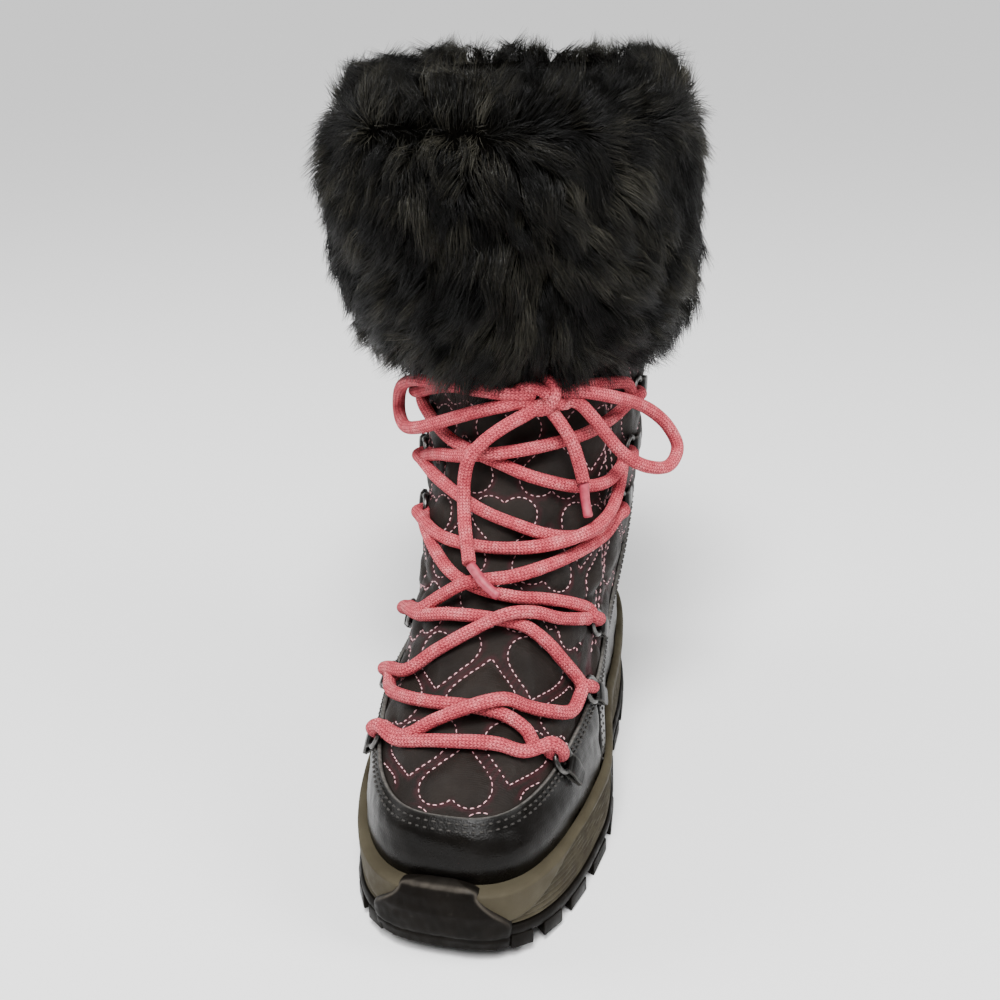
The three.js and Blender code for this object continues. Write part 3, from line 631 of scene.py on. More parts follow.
def quilt_finish():
    f = Finish("quilted_fabric", Specular_IOR_Level=0.12)
    heart = f.speckle(55, 4, (0.3, (0.0075, 0.0054, 0.0044)), (0.7, (0.0150, 0.0112, 0.0092)))
    # Painted reflection: beside the stitches the cloth is a dark maroon, standing in for pink light thrown
    # from the thread.
    channel = f.speckle(220, 3, (0.3, (0.016, 0.0050, 0.0060)), (0.75, (0.042, 0.0110, 0.0135)))
    colour = f.mix(f.value("channel"), heart, channel)
    dust = f.speckle(900, 2, (0.68, 0.0), (0.8, 0.25))
    f.link(f.mix(dust, colour, (0.045, 0.038, 0.034)), "Base Color")
    f.link(f.speckle(120, 3, (0.3, 0.42), (0.7, 0.6)), "Roughness")
    threads = []
    for way in "ZX":
        wave = f.node("ShaderNodeTexWave", {"bands_direction": way}, Scale=WEAVE_SCALE, Distortion=1.5,
                      Detail=1, Vector=f.where())
        threads.append(wave.outputs["Fac"])
    cloth = f.math("ADD", *threads)
    folds = f.bump(f.spots(260, 4), 0.0006, 0.8)
    f.link(f.bump(cloth, 0.00008, 0.8, folds), "Normal")
    return f.material


QUILT = quilt_finish()


# %% [markdown]
# ### Thread
# A stitch is two or three twisted filaments. Pink thread quilts the fabric, and black thread holds the
# leather.

# %% Thread finishes
def thread_finish(name, colour, shade_colour):
    f = Finish(name, Roughness=0.6, Specular_IOR_Level=0.3)
    f.link(f.speckle(700, 2, (0.3, shade_colour), (0.6, colour)), "Base Color")
    f.link(f.bump(f.spots(5200, 2), 0.00008, 0.8), "Normal")
    return f.material


PINK_THREAD = thread_finish("pink_thread", (0.75, 0.45, 0.47), (0.55, 0.24, 0.28))
BLACK_THREAD = thread_finish("black_thread", (0.030, 0.027, 0.024), (0.010, 0.009, 0.008))


# %% [markdown]
# ### Leather
# A coated black leather: glossy, with a fine grain, soft creases that run with its length, a paler raw
# edge where the coating ends, and dull scuffs.

# %% Leather finish
def leather_finish():
    f = Finish("black_leather", Specular_IOR_Level=0.11)
    tone = f.speckle(60, 5, (0.25, (0.0016, 0.0013, 0.0011)), (0.75, (0.0040, 0.0033, 0.0027)))
    scuff = f.speckle(330, 6, (0.66, 0.0), (0.78, 0.35))
    tone = f.mix(scuff, tone, (0.014, 0.012, 0.010))
    worn = f.math("MULTIPLY", f.value("edge"), f.speckle(700, 4, (0.3, 0.45), (0.6, 1.0)))
    f.link(f.mix(worn, tone, (0.105, 0.100, 0.092)), "Base Color")
    rough = f.speckle(140, 5, (0.3, 0.24), (0.72, 0.38))
    f.link(f.math("ADD", rough, f.math("MULTIPLY", worn, 0.3)), "Roughness")
    grain = f.node("ShaderNodeTexVoronoi", {"feature": "DISTANCE_TO_EDGE"}, Scale=950, Vector=f.where())
    pores = f.ramp(grain.outputs["Distance"], (0.0, 0.0), (0.25, 1.0))
    stretched = f.node("ShaderNodeMapping", Vector=f.where(), Scale=(1.0, 0.5, 3.2))
    creases = f.bump(f.spots(90, 3, stretched.outputs["Vector"]), 0.0006, 0.3)
    f.link(f.bump(pores, 0.00008, 0.35, creases), "Normal")
    return f.material


LEATHER_FINISH = leather_finish()


# %% [markdown]
# ### Lace
# A knitted round cord. Rows of small V-shaped stitches run along it; the valleys between them are painted
# dark as shade, with dark specks, and the pink varies in random patches from painted shade to painted
# highlight.

# %% Lace finish
KNIT_COLUMNS = 12
KNIT_PITCH = 0.0014


def lace_finish():
    f = Finish("pink_lace", Roughness=0.85, Specular_IOR_Level=0.25)
    parts = f.node("ShaderNodeSeparateXYZ", Vector=f.node("ShaderNodeTexCoord").outputs["UV"])
    along, around = parts.outputs["X"], parts.outputs["Y"]
    column = f.math("MULTIPLY", around, KNIT_COLUMNS / (2 * math.pi * LACE_RADIUS))
    off_centre = f.math("PINGPONG", column, 0.5)
    slant = f.math("ADD", f.math("MULTIPLY", along, 1 / KNIT_PITCH), f.math("MULTIPLY", off_centre, 1.5))
    stitch = f.math("MULTIPLY", f.math("PINGPONG", slant, 0.5), 2.0)
    beside = f.math("MULTIPLY", f.math("SUBTRACT", 0.5, off_centre), 4.0)
    height = f.math("MINIMUM", stitch, beside)
    # Painted shade: the low valleys between the stitches, broken up by dark specks, are mixed to a dark red
    # below.
    uneven = f.math("ADD", height, f.math("MULTIPLY", f.math("SUBTRACT", f.spots(1500, 3), 0.5), 1.6))
    gap = f.ramp(uneven, (0.15, 1.0), (0.6, 0.0))
    # The pink varies in random patches; its deep end is painted shade and its pale end a painted highlight.
    pink = f.speckle(
        170, 5, (0.25, (0.50, 0.055, 0.075)), (0.5, (0.72, 0.115, 0.140)), (0.75, (0.92, 0.25, 0.27)))
    f.link(f.mix(f.math("MULTIPLY", gap, 0.85), pink, (0.13, 0.008, 0.018)), "Base Color")
    fuzz = f.bump(f.spots(3800, 3), 0.00012, 0.6)
    f.link(f.bump(height, 0.0004, 1.0, fuzz), "Normal")
    return f.material


LACE = lace_finish()


def tip_finish():
    """The end of the lace is dipped and pressed, so it is darker and smoother."""
    f = Finish("lace_tip", Roughness=0.5)
    f.link(f.speckle(500, 4, (0.3, (0.24, 0.018, 0.038)), (0.7, (0.40, 0.045, 0.075))), "Base Color")
    f.link(f.bump(f.spots(2600, 3), 0.0002, 0.7), "Normal")
    return f.material


LACE_TIP = tip_finish()


# %% [markdown]
# ### Sole
# The midsole is a taupe foam that has gathered some dirt low down, and the outsole is a matt black
# rubber with fine dust; a thin pale line along the bumper's crest is partly wear, partly painted highlight.

# %% Sole finishes
def foam_finish():
    f = Finish("taupe_foam", Specular_IOR_Level=0.12)
    tone = f.speckle(45, 4, (0.3, (0.033, 0.0270, 0.0160)), (0.7, (0.058, 0.0500, 0.0320)))
    grime = f.math("MULTIPLY", f.value("low"), f.speckle(170, 5, (0.35, 0.0), (0.65, 0.5)))
    f.link(f.mix(grime, tone, (0.018, 0.014, 0.0095)), "Base Color")
    f.link(f.speckle(210, 3, (0.3, 0.62), (0.7, 0.82)), "Roughness")
    f.link(f.bump(f.spots(1800, 4), 0.00012, 0.6), "Normal")
    return f.material


def rubber_finish():
    f = Finish("black_rubber", Specular_IOR_Level=0.06)
    tone = f.speckle(80, 5, (0.3, (0.0024, 0.0019, 0.0014)), (0.7, (0.0052, 0.0041, 0.0031)))
    dust = f.speckle(260, 6, (0.64, 0.0), (0.82, 0.2))
    # The edge number marks a thin line along the bumper's crest; added to the dust it paints that line pale,
    # partly wear and partly a painted highlight.
    worn = f.math("MULTIPLY", f.value("edge"), f.speckle(300, 3, (0.35, 0.5), (0.7, 1.0)))
    dust = f.math("ADD", dust, worn)
    f.link(f.mix(dust, tone, (0.050, 0.043, 0.035)), "Base Color")
    f.link(f.speckle(150, 4, (0.3, 0.4), (0.7, 0.65)), "Roughness")
    f.link(f.bump(f.spots(1500, 5), 0.0001, 0.4), "Normal")
    return f.material


FOAM = foam_finish()
RUBBER = rubber_finish()


# %% [markdown]
# ### Fur, lining, felt and wire
# Fur is nearly black. Its hairs carry painted light: a ramp by each hair's and lock's random share and
# by large patches of noise runs from a painted deep shade through lit black to painted warm grey glints.
# Under the hairs lies a dull black ground. The inside is a short black pile, the insole a grey felt, and
# the rings a dark plated wire.

# %% Other finishes
def fur_finish():
    f = Finish("black_fur", Specular_IOR_Level=0.16)
    glint_share = f.value("tone")
    # Painted light: the base colour runs from painted deep shade to painted warm grey glints, by the hair's
    # share and large patches of noise.
    light = f.math("ADD", f.math("MULTIPLY", glint_share, 0.62), f.math("MULTIPLY", f.spots(24, 3), 0.62))
    deep, lit, glint = (0.0004, 0.0004, 0.0003), (0.0030, 0.0028, 0.0021), (0.046, 0.043, 0.033)
    colour = f.ramp(light, (0.36, deep), (0.66, lit), (0.92, glint))
    f.link(colour, "Base Color")
    f.link(f.ramp(glint_share, (0.0, 0.42), (1.0, 0.26)), "Roughness")
    return f.material


def pile_finish(name, dark, light):
    f = Finish(name, Roughness=0.95, Specular_IOR_Level=0.2)
    f.link(f.speckle(240, 5, (0.3, dark), (0.7, light)), "Base Color")
    f.link(f.bump(f.spots(1400, 5), 0.0012, 0.9), "Normal")
    return f.material


def wire_finish():
    f = Finish("dark_wire", Metallic=1.0)
    f.link(f.speckle(400, 3, (0.3, (0.05, 0.048, 0.046)), (0.7, (0.15, 0.145, 0.14))), "Base Color")
    f.link(f.speckle(600, 4, (0.3, 0.22), (0.7, 0.45)), "Roughness")
    return f.material


FUR = fur_finish()
FUR_GROUND = Finish(
    "fur_ground", Roughness=1.0, Specular_IOR_Level=0.0, Base_Color=(0.0012, 0.0011, 0.0009, 1)).material
LINING = pile_finish("black_lining", (0.006, 0.0056, 0.0052), (0.016, 0.0148, 0.0135))
FELT = pile_finish("grey_felt", (0.020, 0.019, 0.018), (0.045, 0.043, 0.040))
WIRE = wire_finish()

# %% [markdown]
# ## Edges of the leather
# The rand's upper edge starts low at the toe cap and climbs towards the sides, where the heel counter
# takes over and climbs on to the ankle.

# %% Leather edges
RAND_SIDE = 1.22
SEAM = 0.004
RAND_HIGH = 3.4
COUNTER_HIGH, COUNTER_CLIMB = 4.6, 1.2
BACK_HIGH, BACK_CLIMB = 0.6, 0.7


def rand_top(turn):
    return RAND_HIGH + np.minimum(np.abs(turn) / RAND_SIDE, 1) ** 2


def counter_top(turn):
    beyond = math.pi - np.abs(math.pi - np.mod(turn, 2 * math.pi)) - RAND_SIDE
    climb = COUNTER_HIGH * smooth(beyond / COUNTER_CLIMB)
    return rand_top(RAND_SIDE) + climb + BACK_HIGH * smooth((beyond - COUNTER_CLIMB) / BACK_CLIMB)


def leather_top(turn):
    return np.where(np.abs(turn) < RAND_SIDE, rand_top(turn), counter_top(turn))


# %% [markdown]
# ## Quilting pattern
# Hearts stand in columns, tip up and tip down by turns, and nest with a narrow channel between them.
# The distance to the nearest outline shapes the fabric: it sinks at the stitches and swells inside the
# heart. The distance is worked out once on one repeat of the pattern and read from there.

# %% Heart pattern
HEART_TALL = 0.0255
COLUMN_PITCH = 0.0193
ROW_PITCH = 0.038
TIP_DOWN_RISE = 0.0117
OUTLINE_STEP = 0.0007
# One side of a heart whose tip is at the origin and points down, from its notch round the lobe to the tip
HEART_SIDE = [
    (0.0, 0.0224), (0.0022, 0.0243), (0.0060, 0.0255), (0.0100, 0.0245), (0.0130, 0.0214), (0.0138, 0.0174),
    (0.0124, 0.0130), (0.0086, 0.0086), (0.0043, 0.0044), (0.0, 0.0)]


def heart_sides():
    """The two sides of each heart of one repeat, tip up and then tip down."""
    side = spline([(x, y, 0) for x, y in HEART_SIDE], OUTLINE_STEP)[:, :2]
    both = [side, side * (-1, 1)]
    up = [line * (1, -1) + (0, HEART_TALL) for line in both]
    down = [line + (COLUMN_PITCH, TIP_DOWN_RISE) for line in both]
    return [up, down]


def distance_to(loop, points):
    """Distance from points to a closed outline, positive inside it by an even-odd count of crossings."""
    a, b = loop, np.roll(loop, -1, axis=0)
    side = b - a
    rel = points[:, None] - a[None]
    share = np.clip((rel * side).sum(-1) / np.maximum((side * side).sum(-1), 1e-12), 0, 1)
    near = np.linalg.norm(rel - share[..., None] * side, axis=-1).min(1)
    crosses = (a[:, 1] > points[:, None, 1]) != (b[:, 1] > points[:, None, 1])
    rise = np.where(side[:, 1] == 0, 1e-12, side[:, 1])
    at_x = a[:, 0] + (points[:, None, 1] - a[:, 1]) / rise * side[:, 0]
    inside = (crosses & (points[:, None, 0] < at_x)).sum(1) % 2 == 1
    return np.where(inside, near, -near)


CELLS_WIDE, CELLS_TALL = 155, 152
cell_u, cell_w = np.meshgrid(
    np.arange(CELLS_WIDE) / CELLS_WIDE * 2 * COLUMN_PITCH, np.arange(CELLS_TALL) / CELLS_TALL * ROW_PITCH,
    indexing="ij")
cell_points = np.stack([cell_u.ravel(), cell_w.ravel()], 1)
PATTERN = np.full(len(cell_points), -1.0)
for right, left in heart_sides():
    for shift_u in (-2, 0, 2):
        for shift_w in (-1, 0, 1):
            moved = np.concatenate([right, left[::-1]]) + (shift_u * COLUMN_PITCH, shift_w * ROW_PITCH)
            PATTERN = np.maximum(PATTERN, distance_to(moved, cell_points))
PATTERN = PATTERN.reshape(CELLS_WIDE, CELLS_TALL)


def heart_distance(u, w):
    """Distance to the nearest heart outline at a place of the pattern, positive inside a heart."""
    x = np.mod(u / (2 * COLUMN_PITCH), 1) * CELLS_WIDE
    y = np.mod(w / ROW_PITCH, 1) * CELLS_TALL
    i, j = x.astype(int) % CELLS_WIDE, y.astype(int) % CELLS_TALL
    fx, fy = x - np.floor(x), y - np.floor(y)
    k, m = (i + 1) % CELLS_WIDE, (j + 1) % CELLS_TALL
    low = PATTERN[i, j] * (1 - fx) + PATTERN[k, j] * fx
    high = PATTERN[i, m] * (1 - fx) + PATTERN[k, m] * fx
    return low * (1 - fy) + high * fy


print("deepest point of a heart:", round(PATTERN.max() * 1000, 1), "mm")

# %% [markdown]
# ## Upper
# The upper is two panels of quilted cloth: one over the toe and the front of the shaft, and one round
# the back, joined by a stitched seam on each side. To lay the pattern without stretching it, the cloth's
# own directions are measured on the boot: w is the way along the middle line for the front panel and
# the height for the back one, and u is the way round that is left.

# %% Upper grid
AROUND = 300
# The rows of the grid are close together where the quilting shows: from section, to section, rows
ROW_SPANS = [(0, 3.1, 8), (3.1, 10, 117), (10, 12.8, 61), (12.8, TOP, 7)]
ROWS = np.concatenate([np.linspace(low, high, count + 1)[:-1] for low, high, count in ROW_SPANS] + [[TOP]])
V = np.repeat(ROWS[:, None], AROUND + 1, 1)
TURN = np.stack([even_turns(v, AROUND) for v in ROWS])
SKIN = on_last(V, TURN)
AWAY = normal(V, TURN)
SEAM_TABLE = np.array([[0, 1.25], [4, 1.25], [7, 1.22], [9, 1.14], [10.5, 1.02], [12, 0.98], [16, 0.98]])


def seam_turn(v):
    """Angle of the seam between the front and back panels."""
    return np.interp(v, SEAM_TABLE[:, 0], SEAM_TABLE[:, 1])


def way_round(w):
    """How far each grid point is round the boot, once the way that w goes is taken off, from the back."""
    step = np.linalg.norm(np.diff(SKIN, axis=1), axis=-1)
    left = np.sqrt(np.maximum(step**2 - np.diff(w, axis=1)**2, 0))
    return np.concatenate([np.zeros((len(ROWS), 1)), np.cumsum(left, 1)], 1)


def cloth_directions():
    """u and w of the flat cloth at every grid point, for the front panel and for the back one."""
    line_v = np.linspace(0, TOP, 321)
    line = on_last(line_v, np.zeros_like(line_v))
    heading = np.gradient(line, axis=0)
    heading /= np.linalg.norm(heading, axis=1, keepdims=True)
    lengths = lengths_along(line)
    ahead = SKIN @ heading.T - (line * heading).sum(1)
    passed = np.argmax(ahead < 0, axis=-1).clip(1, len(line_v) - 1)
    f1 = np.take_along_axis(ahead, passed[..., None], -1)[..., 0]
    f0 = np.take_along_axis(ahead, passed[..., None] - 1, -1)[..., 0]
    share = np.clip(f0 / np.where(f0 - f1 == 0, 1, f0 - f1), 0, 1)
    front_w = lengths[passed - 1] + share * (lengths[passed] - lengths[passed - 1])
    back_w = SKIN[..., 2]
    front_u = way_round(front_w)
    front_u -= front_u[:, AROUND // 2:AROUND // 2 + 1]
    back_u = way_round(back_w)
    back_u = np.where(TURN > 0, back_u - back_u[:, -1:], back_u)
    return front_u, front_w, back_u, back_w


FRONT_U, FRONT_W, BACK_U, BACK_W = cloth_directions()
IN_FRONT = np.abs(TURN) < seam_turn(V)
# Where the pattern lies on each panel. The front one is folded at the ankle, where the hearts start anew.
FOLD_W = 0.119
LOW_FRONT = IN_FRONT & (FRONT_W < FOLD_W)
HIGH_FRONT = IN_FRONT & (FRONT_W >= FOLD_W)
PATTERN_U = np.where(
    LOW_FRONT, FRONT_U - 0.0015 - 0.08 * (FRONT_W - 0.038), np.where(HIGH_FRONT, FRONT_U - 0.0223, BACK_U))
PATTERN_W = np.where(
    LOW_FRONT, FRONT_W - 0.0383, np.where(HIGH_FRONT, 1.1 * (FRONT_W - 0.1355), BACK_W - 0.0135))
print("cloth rows", len(ROWS), "by columns", AROUND)

# %% [markdown]
# The cloth's height over the last: it sinks 0.8 mm at each stitch line, swells by up to 2 mm inside a
# heart, lies flat under the leather and the fur, puckers beside the stitches, folds where the ankle
# bends, and gives way under the lace.

# %% Quilted relief
PUFF = 0.0021
STITCH_SINK = 0.0008
CHANNEL_PUFF = 0.0006
SEAM_SINK = 0.0012
# Half the boot's width turns an angle into a rough distance round it.
HALF_WIDTH = 0.047
FOLD_WIDE, SWELL_WIDE, SWELL_ABOVE = 0.14, 0.2, 0.33
FOLDS = [
    {"v": 7.9, "turn": -0.95, "reach": 0.5, "deep": 0.0013},
    {"v": 7.2, "turn": 1.0, "reach": 0.4, "deep": 0.0010},
    {"v": 9.3, "turn": 1.15, "reach": 0.4, "deep": 0.0010},
    {"v": 8.6, "turn": -1.25, "reach": 0.4, "deep": 0.0009},
    {"v": 9.6, "turn": 2.3, "reach": 0.8, "deep": 0.0012},
    {"v": 10.4, "turn": -2.2, "reach": 0.7, "deep": 0.0011},
]


def bell(x):
    return np.exp(-x ** 2)


def relief():
    """Height of the cloth, and how much of the pink thread's painted reflection a place beside the stitches
    gets.
    """
    d = heart_distance(PATTERN_U, PATTERN_W)
    inside = PUFF * (1 - np.exp(-np.maximum(d, 0) / 0.0032))
    between = CHANNEL_PUFF * (1 - np.exp(-np.maximum(-d, 0) / 0.0009))
    height = inside + between - STITCH_SINK
    pucker = waves(SKIN, 0.0052, 3) * np.exp(-np.abs(d) / 0.0022)
    height += 0.00028 * pucker + 0.00035 * waves(SKIN, 0.016, 5)
    seam = bell(np.abs(np.abs(TURN) - seam_turn(V)) * HALF_WIDTH / 0.0016)
    height = height * (1 - seam) - SEAM_SINK * seam
    height -= SEAM_SINK * bell((math.pi - np.abs(TURN)) * HALF_WIDTH / 0.0018)
    free = smooth((V - leather_top(TURN)) / 0.3) * smooth((12.7 - V) / 0.3)
    for fold in FOLDS:
        across = fold["deep"] * bell((TURN - fold["turn"]) / fold["reach"])
        height -= across * bell((V - fold["v"] - 0.12 * np.sin(3 * TURN)) / FOLD_WIDE)
        height += 0.6 * across * bell((V - fold["v"] - SWELL_ABOVE) / SWELL_WIDE)
    return height * free, np.clip(1.2 - np.abs(d + 0.0007) / 0.0011, 0, 1) * free


HEIGHT, THREAD_REFLECTION = relief()
lace_tree = KDTree(len(LACE_ROUTE))
for index, point in enumerate(LACE_ROUTE):
    lace_tree.insert(point, index)
lace_tree.balance()


LACE_CLEAR = LACE_RADIUS + 0.0001
DEEPEST_PRESS = 0.004


def yield_to_lace(points):
    """Pushes points that the lace would enter back along the surface."""
    moved = points.copy()
    found = [lace_tree.find(p) for p in points.reshape(-1, 3)]
    near = np.array([gap for _, _, gap in found]).reshape(points.shape[:-1]) < LACE_CLEAR
    index = np.array([n for _, n, _ in found]).reshape(points.shape[:-1])[near]
    toward = LACE_ROUTE[index] - points[near]
    out = AWAY[near]
    lift = (toward * out).sum(-1)
    flat = np.maximum((toward * toward).sum(-1) - lift * lift, 0)
    drop = np.sqrt(np.maximum(LACE_CLEAR**2 - flat, 0)) - lift
    moved[near] -= out * np.clip(drop, 0, DEEPEST_PRESS)[:, None]
    return moved


CLOTH = yield_to_lace(SKIN + AWAY * HEIGHT[..., None])
# The cloth carries where the thread's painted reflection goes.
upper = wrap("quilted_upper", CLOTH, channel=THREAD_REFLECTION)

# %% [markdown]
# The lining is a plainer sheet inside, and the two are bridged at the collar and at the feather edge,
# so the upper is one closed wall 3 mm thick, open at the top and underneath.

# %% Lining and rims
LINING_AROUND, LINING_ROWS = 100, 48
PILE_UNEVEN, PILE_SIZE = 0.0004, 0.012
lining_v = np.linspace(0, TOP, LINING_ROWS + 1)
lining_turn = np.stack([even_turns(v, LINING_AROUND) for v in lining_v])
inside = on_last(lining_v[:, None], lining_turn, np.full(lining_turn.shape, -WALL))
level = on_last(lining_v[:, None], lining_turn)[..., 2]
for row in (0, LINING_ROWS):
    inside[row, :, 2] = level[row]
pile = PILE_UNEVEN * waves(inside, PILE_SIZE, 8)
inside += normal(lining_v[:, None], lining_turn) * pile[..., None]
lining = wrap("lining", inside, channel=0.0)
lining.data.flip_normals()
for piece in (upper, lining):
    paint(piece, QUILT, LINING)
second_material(lining)
join(upper, lining)
bpy.ops.object.mode_set(mode="EDIT")
bpy.ops.mesh.select_all(action="SELECT")
bpy.ops.mesh.remove_doubles(threshold=WELD_DISTANCE)
bpy.ops.mesh.select_all(action="DESELECT")
bpy.ops.object.mode_set(mode="OBJECT")


def bridge(piece, low, high):
    """Bridges the open edges whose height is between low and high."""
    form = bmesh.new()
    form.from_mesh(piece.data)
    edges = [e for e in form.edges if e.is_boundary and all(low < v.co.z < high for v in e.verts)]
    bmesh.ops.bridge_loops(form, edges=edges)
    form.to_mesh(piece.data)
    form.free()


bridge(upper, 0.0, 0.06)
bridge(upper, 0.25, 0.4)
shade(upper)
seat_on_boot(upper, "quilt", "upper")
print("upper faces", len(upper.data.polygons))

# %% [markdown]
# ## Stitches
# Each stitch is a small bulging thread that dips into the cloth at both ends. One is modelled as five
# square sections and copied along the lines. A stitch line is drawn on the flat cloth, so each place on
# it has to be found again on the boot: the nearest grid point gives it, corrected by the local slopes.

# %% Stitch mesh
STITCH_SIDES = 4
# Along the stitch: share of its length, share of its radius, share of its lift
STITCH_PROFILE = [(0.0, 0.25, -0.6), (0.22, 0.85, 0.3), (0.5, 1.0, 0.8), (0.78, 0.85, 0.3), (1.0, 0.25, -0.6)]


# A line of stitches: their pitch, the share of it that a stitch fills, and the thread's radius and lift
QUILT_STITCH = {"pitch": 0.0026, "share": 0.76, "radius": 0.00027, "lift": 0.00032}
SEAM_STITCH = {"pitch": 0.0032, "share": 0.72, "radius": 0.00028, "lift": 0.0003}
LEATHER_STITCH = {"pitch": 0.0030, "share": 0.72, "radius": 0.00052, "lift": 0.0006}


def stitch_piece(name, stitches, kind, slot, material):
    """One mesh of many stitches, from lists of their start and end points and outward directions."""
    starts, ends, outs = (np.concatenate(part) for part in zip(*stitches))
    along = ends - starts
    length = np.linalg.norm(along, axis=1, keepdims=True)
    along = along / np.maximum(length, 1e-9)
    side = np.cross(along, outs)
    side /= np.linalg.norm(side, axis=1, keepdims=True)
    up = np.cross(side, along)
    angle = 2 * math.pi * np.arange(STITCH_SIDES) / STITCH_SIDES + math.pi / 4
    rings = []
    for share, width, rise in STITCH_PROFILE:
        centre = starts + along * length * share + outs * (kind["lift"] * rise)
        rings.append(np.stack([
            centre + kind["radius"] * width * (side * math.cos(a) + up * math.sin(a)) for a in angle], 1))
    points = np.stack(rings, 1)
    count, levels, n = points.shape[:3]
    faces = []
    for i in range(levels - 1):
        for j in range(n):
            k = (j + 1) % n
            faces.append([i * n + j, (i + 1) * n + j, (i + 1) * n + k, i * n + k])
    faces += [[0, 1, 2, 3], [(levels - 1) * n + j for j in (3, 2, 1, 0)]]
    faces = np.array(faces)[None] + (np.arange(count) * levels * n)[:, None, None]
    piece = mesh_piece(name, points.reshape(-1, 3), faces.reshape(-1, 4))
    complete(piece, material, slot)
    print(name, count, "stitches")


def stitch_spans(line, kind):
    """Start and end of the stitches along a line: its first columns are a place, the rest goes with it."""
    lengths = lengths_along(line[:, :3])
    count = max(1, int(round(lengths[-1] / kind["pitch"])))
    at = (np.arange(count) + (1 - kind["share"]) / 2) * lengths[-1] / count
    long = lengths[-1] / count * kind["share"]
    return [np.stack([np.interp(s, lengths, column) for column in line.T], 1) for s in (at, at + long)]


# %% [markdown]
# Each heart of each panel is stitched where its place lies on that panel, clear of the leather edge and
# of the fur.

# %% Quilting stitches
FOUND_WITHIN = 0.0025


class Cloth:
    """Finds places of the flat cloth on the boot, from the grid points that are inside a region."""

    def __init__(self, u, w, inside):
        self.u, self.w = u, w
        self.where = np.argwhere(inside)
        self.tree = KDTree(len(self.where))
        for n, (i, j) in enumerate(self.where):
            self.tree.insert((u[i, j], w[i, j], 0), n)
        self.tree.balance()

    def find(self, places):
        """Points on the cloth, outward directions, section and angle, and whether each place was found."""
        found = [self.tree.find((p[0], p[1], 0)) for p in places]
        i, j = self.where[[n for _, n, _ in found]].T
        good = np.array([gap for _, _, gap in found]) < FOUND_WITHIN
        i0, i1 = np.clip(i - 1, 0, None), np.clip(i + 1, None, len(ROWS) - 1)
        j0, j1 = np.clip(j - 1, 0, None), np.clip(j + 1, None, AROUND)
        step = np.stack([
            np.stack([self.u[i, j1] - self.u[i, j0], self.u[i1, j] - self.u[i0, j]], 1),
            np.stack([self.w[i, j1] - self.w[i, j0], self.w[i1, j] - self.w[i0, j]], 1)], 1)
        rest = np.stack([places[:, 0] - self.u[i, j], places[:, 1] - self.w[i, j]], 1)
        determinant = np.linalg.det(step)
        good &= np.abs(determinant) > 1e-9
        step[~good] = np.eye(2)
        share = np.linalg.solve(step, rest[..., None])[..., 0]
        good &= (np.abs(share) < 2).all(1)

        def at(grid):
            across = (grid[i, j1] - grid[i, j0]).T * share[:, 0]
            upwards = (grid[i1, j] - grid[i0, j]).T * share[:, 1]
            return (grid[i, j].T + across + upwards).T

        return at(CLOTH), AWAY[i, j], at(V), at(TURN), good


LONGEST_STITCH = 0.0028
ABOVE_LEATHER, UNDER_FUR = 0.08, 12.6
# The repeats of the pattern that a panel may show, round and up the cloth
PANELS = [
    {"region": LOW_FRONT, "round": (-2, 3), "up": (-1, 3)},
    {"region": HIGH_FRONT, "round": (-2, 3), "up": (-1, 4)},
    {"region": ~IN_FRONT, "round": (-3, 4), "up": (0, 6)},
]


def quilting_stitches(panel):
    cloth = Cloth(PATTERN_U, PATTERN_W, panel["region"] & (V > 3) & (V < 13))
    for side in sum(heart_sides(), []):
        for column in range(*panel["round"]):
            for row in range(*panel["up"]):
                line = side + (2 * column * COLUMN_PITCH, row * ROW_PITCH)
                first, last = stitch_spans(line, QUILT_STITCH)
                p, n, v, turn, good = cloth.find(first)
                q, *_, good_end = cloth.find(last)
                keep = good & good_end & (v > leather_top(turn) + ABOVE_LEATHER) & (v < UNDER_FUR)
                keep &= np.linalg.norm(p - q, axis=1) < LONGEST_STITCH
                yield p[keep], q[keep], n[keep]


quilting = [stitches for panel in PANELS for stitches in quilting_stitches(panel)]
stitch_piece("quilting_stitches", quilting, QUILT_STITCH, "quilt", PINK_THREAD)


# %% [markdown]
# The panel seams have two pink rows each, and so has the back seam.

# %% Seam stitches
# Angles from a seam to the rows of stitches beside it
PANEL_ROWS, BACK_ROWS = 0.032, 0.03
BACK_SEAM_TURN = math.pi - 0.035


def surface_height(v, turn):
    """Height of the cloth over the last at a section and angle, from the grid."""
    out = ((CLOTH - SKIN) * AWAY).sum(-1)
    heights = []
    for place_v, angle in zip(v, turn):
        row = int(np.clip(np.searchsorted(ROWS, place_v), 1, len(ROWS) - 1))
        share = (place_v - ROWS[row - 1]) / (ROWS[row] - ROWS[row - 1])
        low = np.interp(angle, TURN[row - 1], out[row - 1])
        high = np.interp(angle, TURN[row], out[row])
        heights.append(low + (high - low) * share)
    return np.array(heights)


def line_stitches(lines, kind, out=None):
    """Stitches along lines of section and angle, on the cloth or at a distance out from the last."""
    for v, turn in lines:
        path = on_last(v, turn, surface_height(v, turn) if out is None else np.full(len(v), out))
        first, last = stitch_spans(np.concatenate([path, normal(v, turn)], 1), kind)
        yield first[:, :3], last[:, :3], first[:, 3:]


panel_v = np.linspace(5.3, 12.5, 240)
back_v = np.linspace(10.2, 12.5, 240)
lines = [
    (panel_v, side * seam_turn(panel_v) + apart * PANEL_ROWS) for side in (-1, 1) for apart in (-1, 1)]
lines += [(back_v, np.full_like(back_v, BACK_SEAM_TURN + apart * BACK_ROWS)) for apart in (-1, 1)]
stitch_piece("seam_stitches", line_stitches(lines, SEAM_STITCH), SEAM_STITCH, "quilt", PINK_THREAD)

